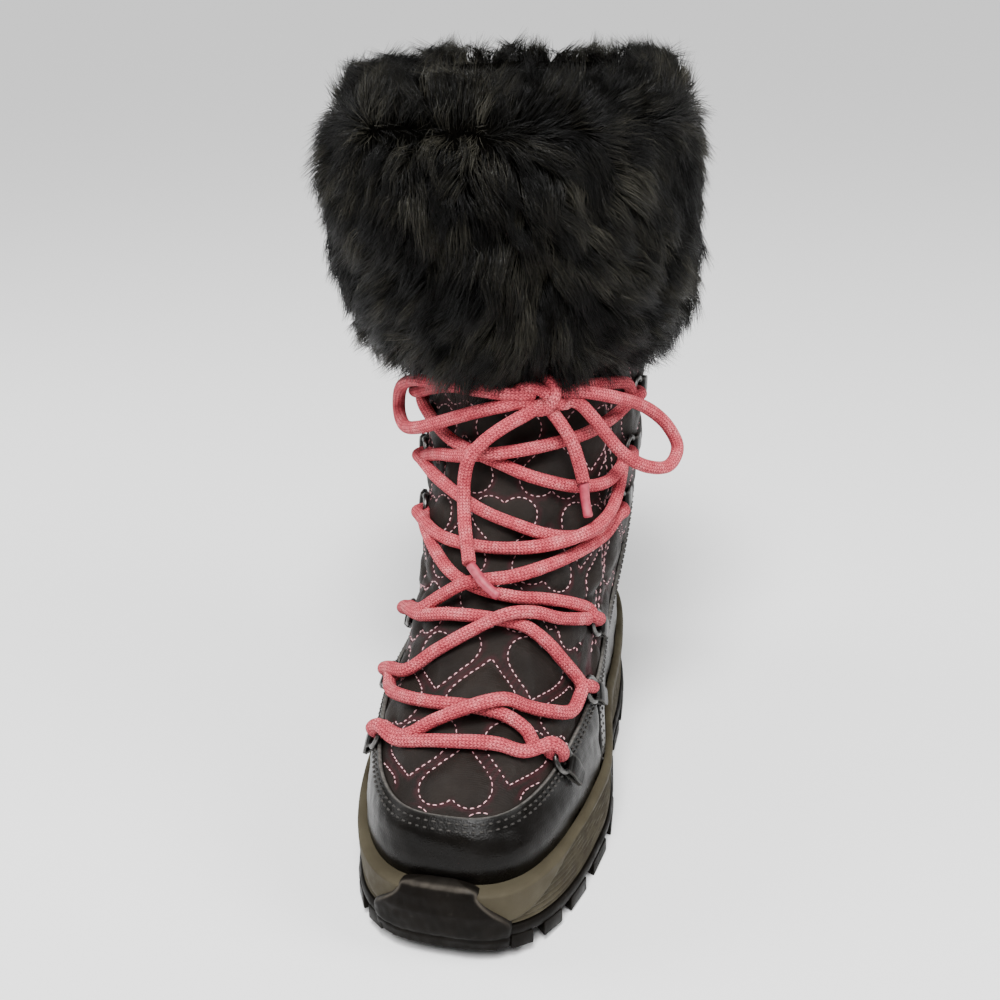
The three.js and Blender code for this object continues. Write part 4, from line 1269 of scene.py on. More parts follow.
# %% [markdown]
# ## Leather rand and counter
# Both are 1.7 mm leather over the cloth. A grid runs round the sheet's whole thickness, from the inside
# over a rounded edge to the outside, and the outside carries a few long creases.

# %% Leather pieces
LEATHER_OUT = GAP + LEATHER
# Round the sheet: share of the way up, and height within the thickness from 0 inside to 1 outside.
EDGE_ROUND = [(1.0, 0.0), (1.0, 0.35), (1.0, 0.7), (0.9955, 0.93), (0.988, 1.0)]
PALE_EDGE = 0.035
STITCH_SUNK = 0.0002


def leather_piece(name, low_turn, high_turn, top_of, across, upwards, seed, node):
    up = np.concatenate([
        np.array([(0.0, 0.0), (0.45, 0.0)]), np.array(EDGE_ROUND),
        np.stack([np.linspace(0.982, 0.0, upwards), np.ones(upwards)], 1)])
    at = np.concatenate([up, up[:1]])
    top = top_of(np.linspace(low_turn, high_turn, across + 1))
    turn = even_turns(float(np.median(top)) * 0.6, across, low_turn, high_turn)
    v = at[:, :1] * top_of(turn)[None]
    turn = np.repeat(turn[None], len(at), 0)
    base = on_last(v, turn)
    # How far a place is under the upper edge, in sections
    below = (1 - at[:, :1]) * top_of(turn)
    crease = 0.0003 * waves(base * (0.4, 1.0, 2.2), 0.024, seed) + 0.00007 * waves(base, 0.006, seed + 1)
    end = np.minimum(np.arange(across + 1), across - np.arange(across + 1)) / across
    thin = smooth(end / 0.006 + 0.35)
    out = GAP + at[:, 1:] * (LEATHER * thin[None] + crease * smooth(below / 0.6))
    piece = wrap(name, on_last(v, turn, out), edge=bell(below / PALE_EDGE) * (at[:, 1:] > 0.2))
    weld(piece, caps=True)
    complete(piece, LEATHER_FINISH, "leather", node)
    print(name, "faces", len(piece.data.polygons))


COUNTER_ENDS = (RAND_SIDE + SEAM, 2 * math.pi - RAND_SIDE - SEAM)
leather_piece("leather_rand", -RAND_SIDE + SEAM, RAND_SIDE - SEAM, rand_top, 220, 60, 21, "toe_rand")
leather_piece("leather_counter", *COUNTER_ENDS, counter_top, 240, 70, 31, "heel_counter")

# %% [markdown]
# Two rows of black stitches follow the upper edge of the leather, and two hold the seam between the
# rand and the counter.

# %% Leather stitches
lines = []
for below in (0.22, 0.43):
    turn = np.linspace(-RAND_SIDE + 0.03, RAND_SIDE - 0.03, 400)
    lines.append((rand_top(turn) - below, turn))
    turn = np.linspace(RAND_SIDE + 0.03, 2 * math.pi - RAND_SIDE - 0.03, 500)
    lines.append((counter_top(turn) - below, turn))
for side in (-1, 1):
    for offset in (0.03, 0.075):
        v = np.linspace(1.4, 4.1, 100)
        lines.append((v, np.full(100, side * (RAND_SIDE + offset))))
stitches = line_stitches(lines, LEATHER_STITCH, LEATHER_OUT - STITCH_SUNK)
stitch_piece("leather_stitches", stitches, LEATHER_STITCH, "leather", BLACK_THREAD)

# %% [markdown]
# ## Sole outline
# The sole has its own outline, wider than the upper, and its heights follow the tread line.

# %% Sole outline
SOLE_LENGTH = 0.264
SOLE_COLUMNS = {
    "fore": 0.05275, "waist": 0.042, "heel": 0.0415, "toe_in": 0.006, "lean": 0, "blunt": 0.6,
    "front_up": 0, "back_up": 0, "floor": 0}
LUG_DEEP = 0.005
OUTSOLE_TOP = 0.0095
CUP_TOE = 0.029
CUP_HEEL = 0.042


def sole_point(out, turn, height=0.0):
    s = dict(SOLE_COLUMNS)
    for key in ("fore", "waist", "heel"):
        s[key] = s[key] + out
    s["front_y"] = -SOLE_LENGTH / 2 - out
    s["back_y"] = SOLE_LENGTH / 2 + out
    point = outline_point(s, turn)
    point[..., 2] = height
    return point


def sole_turns(count):
    """count + 1 angles, evenly spaced by length along the sole's outline."""
    lengths = lengths_along(sole_point(0.0, DENSE_TURNS))
    return np.interp(np.linspace(0, lengths[-1], count + 1), lengths, DENSE_TURNS)


def along_sole(turn):
    return (1 - np.cos(turn)) / 2


def cup_edge(t):
    return CUP_TOE + (CUP_HEEL - CUP_TOE) * t


# %% [markdown]
# ## Midsole
# A foam cup: fine ribs low on its side, a ledge that sweeps up from the toe and runs back along the
# side, and a smooth wall above. Behind the bumper it steps in to make room.

# %% Midsole
BUMPER_MIDDLE = 0.004
BUMPER_LOW, BUMPER_HIGH = 0.027, 0.016
BUMPER_SHOULDER, BUMPER_CREST = 0.015, 0.031
SOLE_AROUND = 420


def bumper_half(height):
    """Half width of the bumper at a height."""
    slope = smooth((height - BUMPER_SHOULDER) / (BUMPER_CREST - 0.002 - BUMPER_SHOULDER))
    half = BUMPER_LOW + (BUMPER_HIGH - BUMPER_LOW) * slope
    crown = np.clip((height - BUMPER_CREST + 0.002) / 0.003, 0, 1)
    return half * np.sqrt(np.maximum(1 - crown**2, 0))


def ledge_height(t):
    """The ledge on the side of the midsole, above the floor."""
    sweep = 0.0165 + 0.0125 * smooth((t - 0.01) / 0.16) + 0.004 * smooth((t - 0.2) / 0.7)
    return sweep + 0.0008 * np.sin(9 * t)


SIDE_ROWS = 46
LEDGE_OUT, LEDGE_SHARP = 0.0011, 0.0011
RIB_PITCH, RIB_DEEP = 0.0023, 0.00038
RECESS_DEEP, RECESS_SIDE, RECESS_SLOPE = 0.0045, 0.0028, 0.003
turn = sole_turns(SOLE_AROUND)
t = along_sole(turn)
tread = tread_rise(t)
low_edge = tread + OUTSOLE_TOP + GAP
high_edge = cup_edge(t)
share = np.linspace(0, 1, SIDE_ROWS)[:, None]
height = low_edge + (high_edge - low_edge) * share
above_ledge = smooth((height - ledge_height(t)) / LEDGE_SHARP + 0.5)
ribs = RIB_DEEP * np.sin(2 * math.pi * (height - low_edge) / RIB_PITCH + 0.5 * np.sin(22 * t))
out = -0.0013 + LEDGE_OUT * above_ledge + ribs * (1 - above_ledge)
out -= 0.0011 * smooth((share - 0.93) / 0.07) ** 2 + 0.0006 * smooth((0.05 - share) / 0.05)
side_x = np.abs(sole_point(0.0, turn)[:, 0] - MIDDLE[0] - BUMPER_MIDDLE)
behind = smooth((bumper_half(height + 0.001) - RECESS_SIDE - side_x) / RECESS_SLOPE + 0.5) * (t < 0.2)
out = out - RECESS_DEEP * behind
side = np.stack([sole_point(o, turn, h) for o, h in zip(out, height)])
seat_top = np.interp(high_edge, [0.02, 0.03, 0.04, 0.05], [0.0, 1.05, 2.0, 3.0])
seat_v = seat_top * np.linspace(1, 0, 7)[:, None]
seat_rows = on_last(seat_v, np.repeat(turn[None], 7, 0), np.full((7, len(turn)), GAP + LEATHER + GAP))
seat_rows[0, :, 2] = high_edge - 0.0002
seat_rows[-1, :, 2] -= GAP
lip = side[-1] + (seat_rows[0] - side[-1]) * 0.5
lip[:, 2] = high_edge + 0.0002
underneath = sole_point(-0.003, turn, low_edge)
body = np.concatenate([underneath[None], side, lip[None], seat_rows])
low_share = np.concatenate([np.ones((1, len(turn))), 1 - above_ledge, np.zeros((8, len(turn)))])
midsole = wrap("foam_midsole", body, low=low_share)
weld(midsole, caps=True)
complete(midsole, FOAM, "foam", "midsole", angle=50)
print("midsole faces", len(midsole.data.polygons))

# %% [markdown]
# ## Outsole and bumper
# The outsole is a rubber sheet with a band round its edge, standing on lugs, and the bumper is moulded
# on at the toe. A grid makes the sheet, another the bumper's outer face, and blocks with bevelled edges
# make the lugs. They are joined as one piece.

# %% Outsole sheet
# Round the edge of the sheet: distance out and height over the tread
SHEET_EDGE = [
    (-0.004, LUG_DEEP), (-0.0012, LUG_DEEP), (-0.0003, LUG_DEEP + 0.0005), (0.0, LUG_DEEP + 0.0014),
    (0.0002, LUG_DEEP + 0.0028), (0.0, OUTSOLE_TOP - 0.0006), (-0.0006, OUTSOLE_TOP), (-0.006, OUTSOLE_TOP)]
outsole = wrap(
    "rubber_outsole", np.stack([sole_point(out, turn, tread + rise) for out, rise in SHEET_EDGE]), edge=0.0)
weld(outsole, caps=True)

# %% [markdown]
# The bumper's face bulges and leans back at its crest. Its edges roll in against the midsole.

# %% Bumper
# Height, and how far the face stands out there
BUMPER_FACE = np.array([
    [0.006, 0.0002], [0.0075, 0.0004], [0.013, 0.0014], [0.021, 0.0019], [0.027, 0.0008], [0.0318, -0.0016]])
FACE_FOOT = 0.0062
BUMPER_WALL = 0.0022
across_count, up_count = 90, 44
a = np.linspace(-1, 1, across_count + 1)[None]
b = np.linspace(0, 1, up_count + 1)[:, None]
level = FACE_FOOT + (BUMPER_CREST + 0.0008 - FACE_FOOT) * b
half = np.maximum(bumper_half(level), 0.004)
x = BUMPER_MIDDLE + a * half
sole_wide = SOLE_COLUMNS["fore"]
# The angle at which the sole's outline has this x, found in four rounds
centre_x = SOLE_COLUMNS["toe_in"]
for _ in range(4):
    sine = np.clip(np.abs(x - centre_x) / sole_wide, 0, 0.999) ** (1 / SOLE_COLUMNS["blunt"])
    angle = np.arcsin(sine)
    centre_x = SOLE_COLUMNS["toe_in"] * np.maximum(0, 1 - along_sole(angle) / TOE_IN_LONG) ** 2
angle = np.sign(x - centre_x) * angle
stand = np.interp(level, BUMPER_FACE[:, 0], BUMPER_FACE[:, 1])
rim = np.minimum((1 - np.abs(a)) * half, np.where(b > 0.5, (1 - b) * 0.026, 1.0))
roll = 0.0042 * (1 - np.sqrt(np.clip(1 - (1 - np.clip(rim / 0.0022, 0, 1)) ** 2, 0, 1)))
crease = -0.0005 * np.exp(-((level - 0.0105) / 0.0006) ** 2)
scar = 0.00012 * waves(np.stack(np.broadcast_arrays(x, level, level * 0), -1), 0.004, 41)
face_points = sole_point(stand - roll + crease + scar, angle, level + 0 * angle)
# A pale line along the crest, partly wear and partly a painted highlight, is carried as the edge number.
worn = bell((rim - 0.0014) / 0.0006) * smooth((level - 0.014) / 0.008)
bumper = wrap("bumper", face_points, edge=worn)
apply(bumper, "SOLIDIFY", thickness=BUMPER_WALL, offset=-1)

# %% [markdown]
# Lugs stand round the edge like teeth, with a slant on their outer face, and arrows of two short bars
# stand across the ball and the heel.

# %% Lugs
EDGE_LUGS = 26
# An edge lug's share of its pitch, how far it stands out, and how far in it reaches
LUG_FROM, LUG_TO = 0.17, 0.83
LUG_OUT, LUG_IN = 0.0006, 0.014
LUG_HIGH = LUG_DEEP + 0.001
LUG_BEVEL = 0.0006
MIDDLE_LUGS = [
    {"at": -0.096, "count": 5, "pitch": 0.020, "half": 0.024},
    {"at": 0.058, "count": 3, "pitch": 0.020, "half": 0.017},
]


def lug(corners):
    """A block on the tread from its outline in x and y, its edges bevelled."""
    corners = np.asarray(corners)
    bpy.ops.mesh.primitive_circle_add(vertices=len(corners), radius=1, fill_type="NGON")
    piece = start("lug")
    t = np.clip((corners[:, 1] - MIDDLE[1] + SOLE_LENGTH / 2) / SOLE_LENGTH, 0, 1)
    place(piece, np.stack([corners[:, 0], corners[:, 1], tread_rise(t)], 1))
    bpy.ops.object.mode_set(mode="EDIT")
    bpy.ops.mesh.select_all(action="SELECT")
    bpy.ops.mesh.extrude_region_move(TRANSFORM_OT_translate={"value": (0, 0, LUG_HIGH)})
    bpy.ops.mesh.select_all(action="SELECT")
    bpy.ops.mesh.normals_make_consistent(inside=False)
    bpy.ops.object.mode_set(mode="OBJECT")
    apply(piece, "BEVEL", width=LUG_BEVEL, segments=2, limit_method="ANGLE")
    attribute(piece, "edge", np.zeros(len(piece.data.vertices)))
    return piece


lugs = []
for i in range(EDGE_LUGS):
    a0, a1 = (2 * math.pi * (i + part) / EDGE_LUGS for part in (LUG_FROM, LUG_TO))
    places_round = ((LUG_OUT, a0), (LUG_OUT, a1), (-LUG_IN, a1), (-LUG_IN, a0))
    lugs.append(lug([sole_point(out, np.array(angle))[:2] for out, angle in places_round]))
for row in MIDDLE_LUGS:
    for i in range(row["count"]):
        y = row["at"] + row["pitch"] * i
        half = row["half"]
        corners = [
            (-half, y + 0.004), (0, y - 0.004), (half, y + 0.004),
            (half, y + 0.013), (0, y + 0.005), (-half, y + 0.013)]
        lugs.append(lug(np.array(corners) + MIDDLE[:2]))
join(outsole, bumper, *lugs)
complete(outsole, RUBBER, "rubber", "outsole", angle=40)
print("outsole faces", len(outsole.data.polygons))

# %% [markdown]
# ## Insole
# A felt footbed inside the upper, with a rounded edge.

# %% Insole
INSOLE_AROUND = 120
INSOLE_IN = -WALL - 0.0008
# From under the insole round its edge to its top: distance out and height
INSOLE_EDGE = [(-0.006, 0.0), (0.0, 0.0), (0.0, 0.0036), (-0.0005, 0.0046), (-0.0016, 0.005), (-0.02, 0.0045)]
insole_turn = even_turns(0.0, INSOLE_AROUND)
floor_level = on_last(0.0, insole_turn)[:, 2]
bed = []
for out, rise in INSOLE_EDGE:
    row = on_last(np.zeros(INSOLE_AROUND + 1), insole_turn, np.full(INSOLE_AROUND + 1, INSOLE_IN + out))
    row[:, 2] = floor_level + rise
    bed.append(row)
insole = wrap("felt_insole", np.stack(bed))
weld(insole, caps=True)
complete(insole, FELT, "felt", "insole", angle=60)
print("insole faces", len(insole.data.polygons))

# %% [markdown]
# ## Rings and tabs
# A ring of dark wire is held by a folded leather tab. The ring is a torus primitive, set into the
# ring's own frame, and the tab a strap that is bent round the wire and stitched down.

# %% Rings
def into_frame(piece, row, side):
    axes, centre = fixing_frame(row, side)
    place(piece, places(piece) @ axes.T + centre)


def ring(row, side):
    bpy.ops.mesh.primitive_torus_add(
        major_segments=48, minor_segments=12, major_radius=RING_RADIUS, minor_radius=WIRE_RADIUS)
    piece = start(f"wire_ring_{side}_{row}")
    into_frame(piece, row, side)
    return piece


TAB_WIDE = 0.008
TAB_THICK = 0.0008
TAB_BEND = 0.0016
TAB_POINTS = 9


def tab(row, side):
    """A strap from under the wire, round it and back over, tapering to its stitched end."""
    bend = [(-0.0137, -0.0009), (-0.0095, -0.0010), (-0.0062, -0.0013)]
    centre = np.array([-RING_RADIUS, 0.0])
    bend += [centre + TAB_BEND * np.array([math.cos(a), math.sin(a)]) for a in np.linspace(-1.9, 1.9, 9)]
    bend += [(-0.0068, 0.0016), (-0.0100, 0.0006), (-0.0137, -0.0001)]
    bend = np.array(bend)
    outward = np.gradient(bend, axis=0)
    outward = np.stack([outward[:, 1], -outward[:, 0]], 1)
    outward /= np.linalg.norm(outward, axis=1, keepdims=True)
    loop = np.concatenate([bend + outward * TAB_THICK / 2, (bend - outward * TAB_THICK / 2)[::-1]])
    loop = np.concatenate([loop, loop[:1]])
    across = np.linspace(-1, 1, TAB_POINTS)
    taper = 1 - 0.14 * smooth((-loop[:, 0] - 0.009) / 0.005)
    points = np.stack(np.broadcast_arrays(
        loop[:, :1], across[None] * TAB_WIDE / 2 * taper[:, None], loop[:, 1:]), -1)
    points[..., 2] -= 0.00025 * (np.abs(across) ** 4)[None]
    piece = wrap("tab", points, edge=0.5 * (np.abs(across) > 0.9))
    weld(piece, caps=True)
    into_frame(piece, row, side)
    return piece


for side in ("outer", "inner"):
    for row in range(1, len(FIXINGS) + 1):
        wire_ring = ring(row, side)
        strap = tab(row, side)
        attribute(wire_ring, "edge", np.zeros(len(wire_ring.data.vertices)))
        for piece in (wire_ring, strap):
            paint(piece, WIRE, LEATHER_FINISH)
        second_material(strap)
        join(wire_ring, strap)
        shade(wire_ring, 50)
        seat_on_boot(wire_ring, "wire", f"ring_{side}_{row}")
print("rings and tabs:", 2 * len(FIXINGS))

# %% [markdown]
# ## Lace on the boot
# The route is already known. The section is a little thinner where the lace squeezes through a ring.

# %% Lace
ring_centres = np.array([fixing_frame(row, side)[1] for side in ("outer", "inner") for row in range(1, 7)])
to_ring = np.linalg.norm(LACE_ROUTE[:, None] - ring_centres[None], axis=-1).min(1)
squeezed = 1 - 0.22 * bell(to_ring / 0.006)
uneven = 1 + 0.03 * waves(LACE_ROUTE, 0.03, 51)
lace = swept("lace_on_boot", LACE_ROUTE, LACE_RADIUS * squeezed * uneven * 0.98, sides=18)
complete(lace, LACE, "lace", "lace")
print("lace faces", len(lace.data.polygons))

# %% [markdown]
# ## Bow
# Two loops and two ends leave the knot. Each is a cord with its real length, and its listed route repeats
# the imported one. The knot is made of the lace's own turns: one wraps across the other.

# %% Bow routes
KNOT = (11.75, 0.32, 0.009)
LOOPS = {
    "bow_loop_outer": [
        (11.79, 0.26, 0.0105), (11.8, 0.13, 0.0125), (11.84, -0.1, 0.012), (11.84, -0.45, 0.011),
        (11.7, -0.75, 0.011), (11.35, -1, 0.0115), (11, -1.04, 0.012), (10.82, -0.85, 0.012),
        (10.95, -0.6, 0.0125), (11.2, -0.36, 0.0125), (11.45, -0.12, 0.0125), (11.62, 0.1, 0.012),
        (11.7, 0.25, 0.0095)],
    "bow_loop_inner": [
        (11.79, 0.38, 0.0105), (11.8, 0.503, 0.0125), (11.6, 0.78, 0.012), (11.25, 1.08, 0.014),
        (10.8, 1.25, 0.019), (10.35, 1.3, 0.023), (10.05, 1.2, 0.023), (10.15, 1.03, 0.019),
        (10.5, 0.87, 0.015), (10.95, 0.74, 0.013), (11.3, 0.64, 0.0125), (11.58, 0.54, 0.012),
        (11.69, 0.4, 0.0095)],
}
ENDS = {
    "lace_end_long": [
        (11.66, 0.34, 0.0105), (11.47, 0.22, 0.012), (11.25, 0.08, 0.0135), (10.95, -0.04, 0.015),
        (10.6, -0.12, 0.016), (10.2, -0.16, 0.014), (9.7, -0.17, 0.012), (9.2, -0.14, 0.0125),
        (8.75, -0.1, 0.013), (8.5, -0.07, 0.0145)],
    "lace_end_short": [
        (11.65, 0.33, 0.0095), (11.44, 0.38, 0.011), (11.2, 0.44, 0.0115), (10.9, 0.5, 0.012),
        (10.5, 0.56, 0.011), (10.08, 0.612, 0.0105)],
}
TIPS = {
    "lace_tip_long": [(8.45, -0.057, 0.0146), (8.1, 0.03, 0.0152), (7.85, 0.12, 0.0145)],
    "lace_tip_short": [(10.04, 0.618, 0.0104), (9.7, 0.64, 0.0102), (9.35, 0.66, 0.0115)],
}
BOW_STEP = 0.0009
TIP_STEP = 0.0006


def bow_cord(name, way):
    path = spline(way_points(way), BOW_STEP)
    piece = swept("pink_" + name, path, LACE_RADIUS * (1 + 0.03 * waves(path, 0.03, 61)), sides=18)
    complete(piece, LACE, "lace", name)
    return piece, path


cords = {name: bow_cord(name, way) for name, way in {**LOOPS, **ENDS}.items()}
tips = {}
for name, way in TIPS.items():
    path = spline(way_points(way), TIP_STEP)
    share = np.linspace(0, 1, len(path))
    radius = TIP_RADIUS * (1.08 - 0.1 * share) * (1 + 0.05 * waves(path, 0.004, 71))
    radius[-1] *= 0.75
    tips[name] = swept("pink_" + name, path, radius)
    complete(tips[name], LACE_TIP, "lace_tip", name)

# %% [markdown]
# The knot's turns are drawn in a frame at its place: x across the boot, y up, z out. Three turns show:
# a band that wraps round the middle, and the two loops' roots that come out from under it.

# %% Knot
knot_centre = on_last(*[np.array(k) for k in KNOT])
knot_out = normal(KNOT[0], KNOT[1])
knot_up = np.array([0.0, 0.0, 1.0]) - knot_out * knot_out[2]
knot_up /= np.linalg.norm(knot_up)
knot_across = np.cross(knot_up, knot_out)
KNOT_AXES = np.stack([knot_across, knot_up, knot_out], 1)
KNOT_TURNS = [
    [(-0.0105, 0.0022, 0.0005), (-0.007, 0.0036, 0.0022), (-0.002, 0.003, 0.0036), (0.003, -0.0008, 0.004),
     (0.0066, -0.0035, 0.0025), (0.0098, -0.0036, 0.0002), (0.0105, -0.001, -0.0025)],
    [(-0.01, -0.003, -0.0006), (-0.0058, -0.0038, 0.0014), (-0.001, -0.0034, 0.002), (0.004, 0.002, 0.0012),
     (0.0072, 0.0038, 0.0006), (0.0104, 0.0034, -0.001)],
    [(-0.0025, 0.0052, -0.0024), (0.0012, 0.006, 0.0014), (0.004, 0.0038, 0.0042),
     (0.0035, -0.0005, 0.0054), (0.0008, -0.0046, 0.0036), (-0.0022, -0.006, -0.0004),
     (-0.0035, -0.0045, -0.0034)],
]
knot_parts = []
for n, way in enumerate(KNOT_TURNS):
    path = spline(np.array(way) @ KNOT_AXES.T + knot_centre, BOW_STEP)
    knot_parts.append(swept(f"knot_turn_{n}", path, LACE_RADIUS * 0.96))
join(*knot_parts)
knot = start("knot_turns")
complete(knot, LACE, "lace", "bow_knot")
print("knot turns:", len(KNOT_TURNS))


def declare(name):
    piece, path = cords[name]
    tuple(path[0])
    length_of(path)
    [tuple(p) for p in path]
    print(name, round(length_of(path), 4), "m")


declare("bow_loop_outer")
declare("bow_loop_inner")
declare("lace_end_long")
declare("lace_end_short")

# %% [markdown]
# ## Fur cuff
# Deep fur has two parts: a soft dark body that gives it bulk and casts its shadows, and the hairs. The
# body is a closed ring round the collar with soft random swells. The hairs are thin bent needles of
# three sides, rooted on the body, combed outwards and down, and gathered into locks at their tips.

# %% Cuff body
CUFF_LOW = 12.25
SWELL_SIZES = [(0.0022, 0.026, 81), (0.0011, 0.011, 82)]
# Round the cuff, from its foot up the outside and over the collar: section, distance out and rise
CUFF_PROFILE = np.array([
    [CUFF_LOW, 0.0006, 0.0010], [CUFF_LOW, 0.0100, -0.0010], [CUFF_LOW, 0.0165, 0.0075], [13, 0.0195, 0.0005],
    [14, 0.0215, -0.0070], [15, 0.0225, -0.0020], [16, 0.0195, -0.0070], [16, 0.0125, 0.0065],
    [16, 0.0030, 0.0110], [16, -0.0045, 0.0060], [16, -0.0030, 0.0005], [16, 0.0006, 0.0005],
    [15, 0.0006, 0.0], [13.5, 0.0006, 0.0]])


def cuff_fullness(turn):
    """The fur stands further out on the outer side of the leg than on the inner side."""
    return 1 - 0.32 * np.sin(turn) + 0.05 * np.cos(3 * turn)


def cuff_point(v, turn, out, up):
    """A point of the cuff; v, turn, out and up are arrays of one shape."""
    out = np.where(out > 0.001, out * cuff_fullness(turn), out)
    point = on_last(v, turn, out)
    point[..., 2] = outline_point(section(v), turn)[..., 2] + up
    return point


def closed_curve(rows, count):
    """count even steps on a closed Catmull-Rom curve through rows."""
    n = len(rows)
    at = np.arange(count) * n / count
    i = at.astype(int)
    f = (at - i)[:, None]
    a, b, c, d = (rows[(i + k) % n] for k in (-1, 0, 1, 2))
    return catmull_rom(a, b, c, d, f)


CUFF_AROUND, CUFF_ROUND = 240, 84
profile = closed_curve(CUFF_PROFILE, CUFF_ROUND)
cuff_turn = np.linspace(-math.pi, math.pi, CUFF_AROUND + 1)
profile_v, profile_out, profile_up = (np.repeat(profile[:, k:k + 1], CUFF_AROUND + 1, 1) for k in range(3))
cuff_turns = np.repeat(cuff_turn[None], CUFF_ROUND, 0)
BODY = cuff_point(profile_v, cuff_turns, profile_out, profile_up)


def ring_normals(points):
    """Outward directions of a closed ring of rows."""
    upward = np.roll(points, -1, 0) - np.roll(points, 1, 0)
    around = np.empty_like(points)
    around[:, 1:-1] = points[:, 2:] - points[:, :-2]
    around[:, 0] = around[:, -1] = points[:, 1] - points[:, -2]
    cross = np.cross(around, upward)
    return cross / np.linalg.norm(cross, axis=-1, keepdims=True)


BODY_AWAY = ring_normals(BODY)
visible = smooth((profile_out - 0.001) / 0.006)
swell = sum(deep * waves(BODY, size, seed) for deep, size, seed in SWELL_SIZES)
BODY = BODY + BODY_AWAY * (swell * visible)[..., None]
BODY_AWAY = ring_normals(BODY)
closed = np.concatenate([BODY, BODY[:1]])
cuff = wrap("cuff_body", closed)
weld(cuff)
complete(cuff, FUR_GROUND, "fur", "fur_cuff")
print("cuff body from", BODY.min((0, 1)).round(3), "to", BODY.max((0, 1)).round(3))

# %% [markdown]
# Where a hair leaves the body it stands up, then it bends to the way that the fur is combed: down and
# away from the middle of the front, with slow swirls. Hairs of one lock lean towards the lock's tip.

# %% Hairs
HAIRS = 90000
HAIR_PIECES = 5
chance = np.random.default_rng(7)


def hair_roots(count):
    """Random even places on the outer part of the body: row and column as numbers, by area."""
    across = np.linalg.norm(np.diff(closed, axis=0)[:, :-1], axis=-1)
    along = np.linalg.norm(np.diff(closed, axis=1)[:-1], axis=-1)
    area = across * along * (visible[:, :-1] > 0.05)
    chosen = chance.choice(area.size, size=count, p=(area / area.sum()).ravel())
    i, j = np.unravel_index(chosen, area.shape)
    return i, j, chance.uniform(size=count), chance.uniform(size=count)


def read_ring(values, i, j, fi, fj):
    """Values of the body grid at places between its rows and columns."""
    k = (i + 1) % CUFF_ROUND
    fi, fj = fi[:, None], fj[:, None]
    low = values[i, j] * (1 - fj) + values[i, j + 1] * fj
    high = values[k, j] * (1 - fj) + values[k, j + 1] * fj
    return low * (1 - fi) + high * fi


def unit(vectors):
    return vectors / np.maximum(np.linalg.norm(vectors, axis=-1, keepdims=True), 1e-12)


COMB_TURNS_AT, COMB_TURNS_OVER = 0.262, 0.04
PART_TURN, PART_WIDE = 0.1, 0.45
i, j, fi, fj = hair_roots(HAIRS)
root = read_ring(BODY, i, j, fi, fj)
away = unit(read_ring(BODY_AWAY, i, j, fi, fj))
root_turn = cuff_turn[j] + fj * (cuff_turn[1] - cuff_turn[0])
around = unit(np.cross(np.array([0.0, 0.0, 1.0]), away * (1, 1, 0) + (0, 1e-6, 0)))
down = unit(np.array([0.0, 0.0, -1.0]) - away * -away[:, 2:])
high = smooth((root[:, 2] - COMB_TURNS_AT) / COMB_TURNS_OVER)
side_pull = np.tanh((root_turn - PART_TURN) / PART_WIDE) * bell((np.abs(root_turn) - 0.9) / 1.2)
swirl = 0.7 * waves(root, 0.085, 91) + 0.35 * waves(root, 0.03, 92)
comb = down * np.tanh((0.5 - high) * 5)[:, None] + around * (0.95 * side_pull + swirl)[:, None]
comb = unit(comb + away * 0.05)
# Locks: each hair belongs to the nearest lock centre and leans towards its tip.
LOCKS = 1300
GATHER = 0.45
ROOT_SHARE = 0.45
centres_at = chance.choice(HAIRS, LOCKS, replace=False)
lock_tree = KDTree(LOCKS)
for n, p in enumerate(root[centres_at]):
    lock_tree.insert(p, n)
lock_tree.balance()
lock_of = np.array([lock_tree.find(p)[1] for p in root])
lock_lift = chance.uniform(0.55, 1.25, LOCKS)[lock_of]
lock_turn = chance.normal(0, 0.30, LOCKS)[lock_of]
# Each lock's random share of painted highlight.
lock_glint = chance.uniform(0, 1, LOCKS)[lock_of]
length = chance.uniform(0.0115, 0.0180, HAIRS) * (0.85 + 0.2 * lock_lift)
comb = unit(comb + np.cross(away, comb) * lock_turn[:, None])
lean = unit(away * (0.62 * lock_lift)[:, None] + comb * 0.85 + chance.normal(0, 0.10, (HAIRS, 3)))
lay = unit(comb * 1.0 + away * 0.20 + chance.normal(0, 0.12, (HAIRS, 3)) + np.array([0, 0, -0.18]))
middle = root + lean * (length * ROOT_SHARE)[:, None]
tip = middle + lay * (length * 0.55)[:, None]
lock_root = root[centres_at][lock_of]
gather = (lock_root - root) * GATHER
middle += gather * 0.35
tip += gather
root = root - away * 0.0006
side_of = unit(np.cross(lean, away) + chance.normal(0, 0.3, (HAIRS, 3)))
up_of = unit(np.cross(side_of, lean))
thick = chance.uniform(0.00010, 0.00018, HAIRS)[:, None]
base_ring, mid_ring = [], []
for angle in (0, 2 * math.pi / 3, 4 * math.pi / 3):
    way = side_of * math.cos(angle) + up_of * math.sin(angle)
    base_ring.append(root + way * thick)
    mid_ring.append(middle + way * thick * 0.8)
hair_points = np.stack([*base_ring, *mid_ring, tip], 1)
# Each hair's share of painted highlight, from its lock and at random; it is carried as the tone number.
hair_glint = np.clip(0.55 * lock_glint + 0.45 * chance.uniform(0, 1, HAIRS), 0, 1)
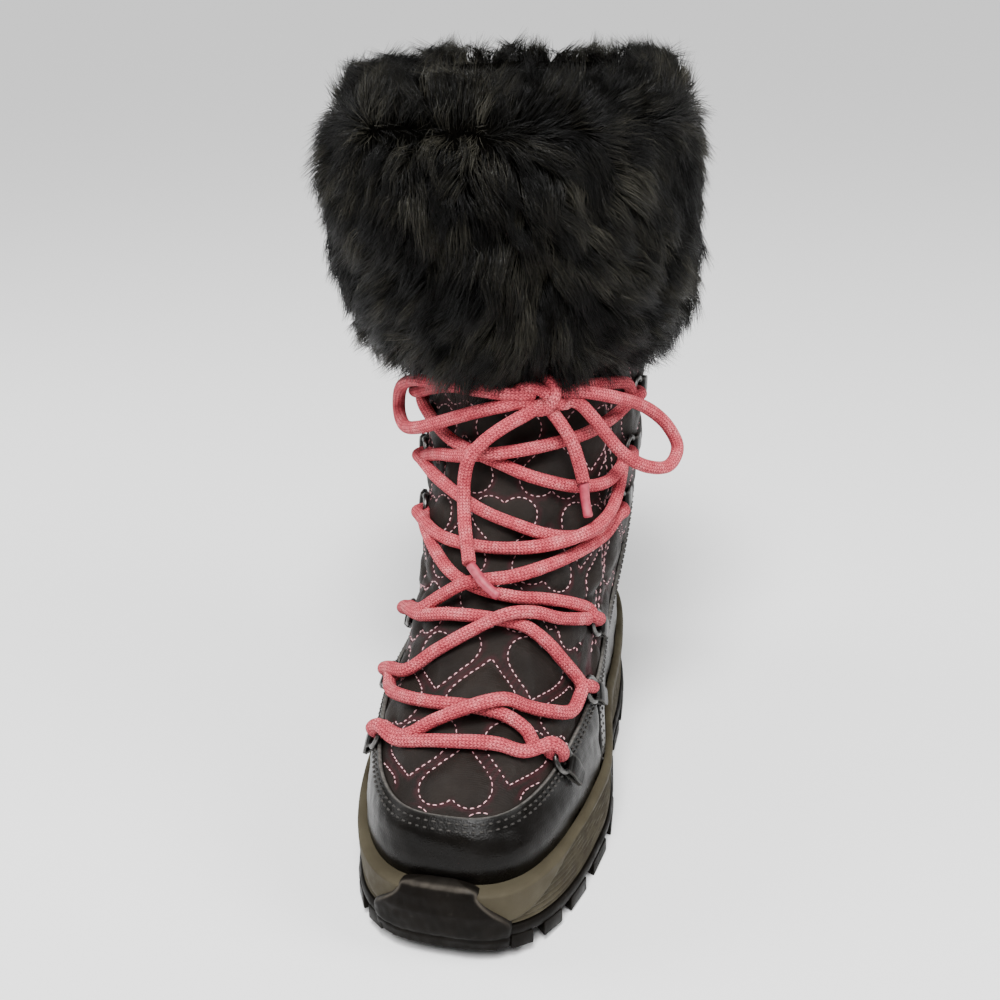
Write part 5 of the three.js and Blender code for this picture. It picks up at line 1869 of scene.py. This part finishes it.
# A hair's seven points: three round its root, three round its middle and the tip
hair_faces = np.array([
    [0, 1, 4], [0, 4, 3], [1, 2, 5], [1, 5, 4], [2, 0, 3], [2, 3, 5], [3, 4, 6], [4, 5, 6], [5, 3, 6]])
order = np.argsort(root_turn, kind="stable")
for n, part in enumerate(np.array_split(order, HAIR_PIECES), 1):
    faces = hair_faces[None] + (7 * np.arange(len(part)))[:, None, None]
    hairs = mesh_piece(f"fur_hairs_{n}", hair_points[part].reshape(-1, 3), faces.reshape(-1, 3))
    attribute(hairs, "tone", np.repeat(hair_glint[part], 7))
    complete(hairs, FUR, "fur")
print("hairs", HAIRS, "lowest", round(float(tip[:, 2].min()), 4), "highest", round(float(tip[:, 2].max()), 4))

# %% [markdown]
# ## Floor and light
# A plain pale floor and soft studio light: a soft sun and a large lamp above and in front, a weaker
# lamp from each side, and an even pale surround.

# %% Floor and light
FLOOR_SIZE = 60
FLOOR_COLOUR = (0.92, 0.92, 0.92, 1)
SURROUND = {"Color": (1.0, 1.0, 1.0, 1), "Strength": 0.28}
LIT_PLACE = Vector((0, 0, 0.14))
bpy.ops.mesh.primitive_plane_add(size=FLOOR_SIZE, location=(0, 0, 0))
floor = start("floor")
paint(floor, Finish("pale_floor", Roughness=0.9, Base_Color=FLOOR_COLOUR).material)

world = bpy.data.worlds.new("surround")
world.use_nodes = True
for key, value in SURROUND.items():
    world.node_tree.nodes["Background"].inputs[key].default_value = value
bpy.context.scene.world = world
LIGHTS = [
    {"name": "window", "kind": "SUN", "place": (0.15, -0.9, 1.5), "soft": 0.5, "power": 3.4},
    {"name": "key", "kind": "AREA", "place": (0.1, -0.75, 1.45), "soft": 0.4, "power": 26.0},
    {"name": "left", "kind": "AREA", "place": (-1.0, -0.2, 0.7), "soft": 0.6, "power": 8.0},
    {"name": "right", "kind": "AREA", "place": (1.0, -0.1, 0.9), "soft": 0.6, "power": 10.0},
]
for light in LIGHTS:
    data = bpy.data.lights.new(light["name"], light["kind"])
    setattr(data, "angle" if light["kind"] == "SUN" else "size", light["soft"])
    data.energy = light["power"]
    lamp = bpy.data.objects.new(light["name"], data)
    bpy.context.collection.objects.link(lamp)
    lamp.location = light["place"]
    lamp.rotation_mode = "QUATERNION"
    lamp.rotation_quaternion = (LIT_PLACE - lamp.location).to_track_quat("-Z", "Y")
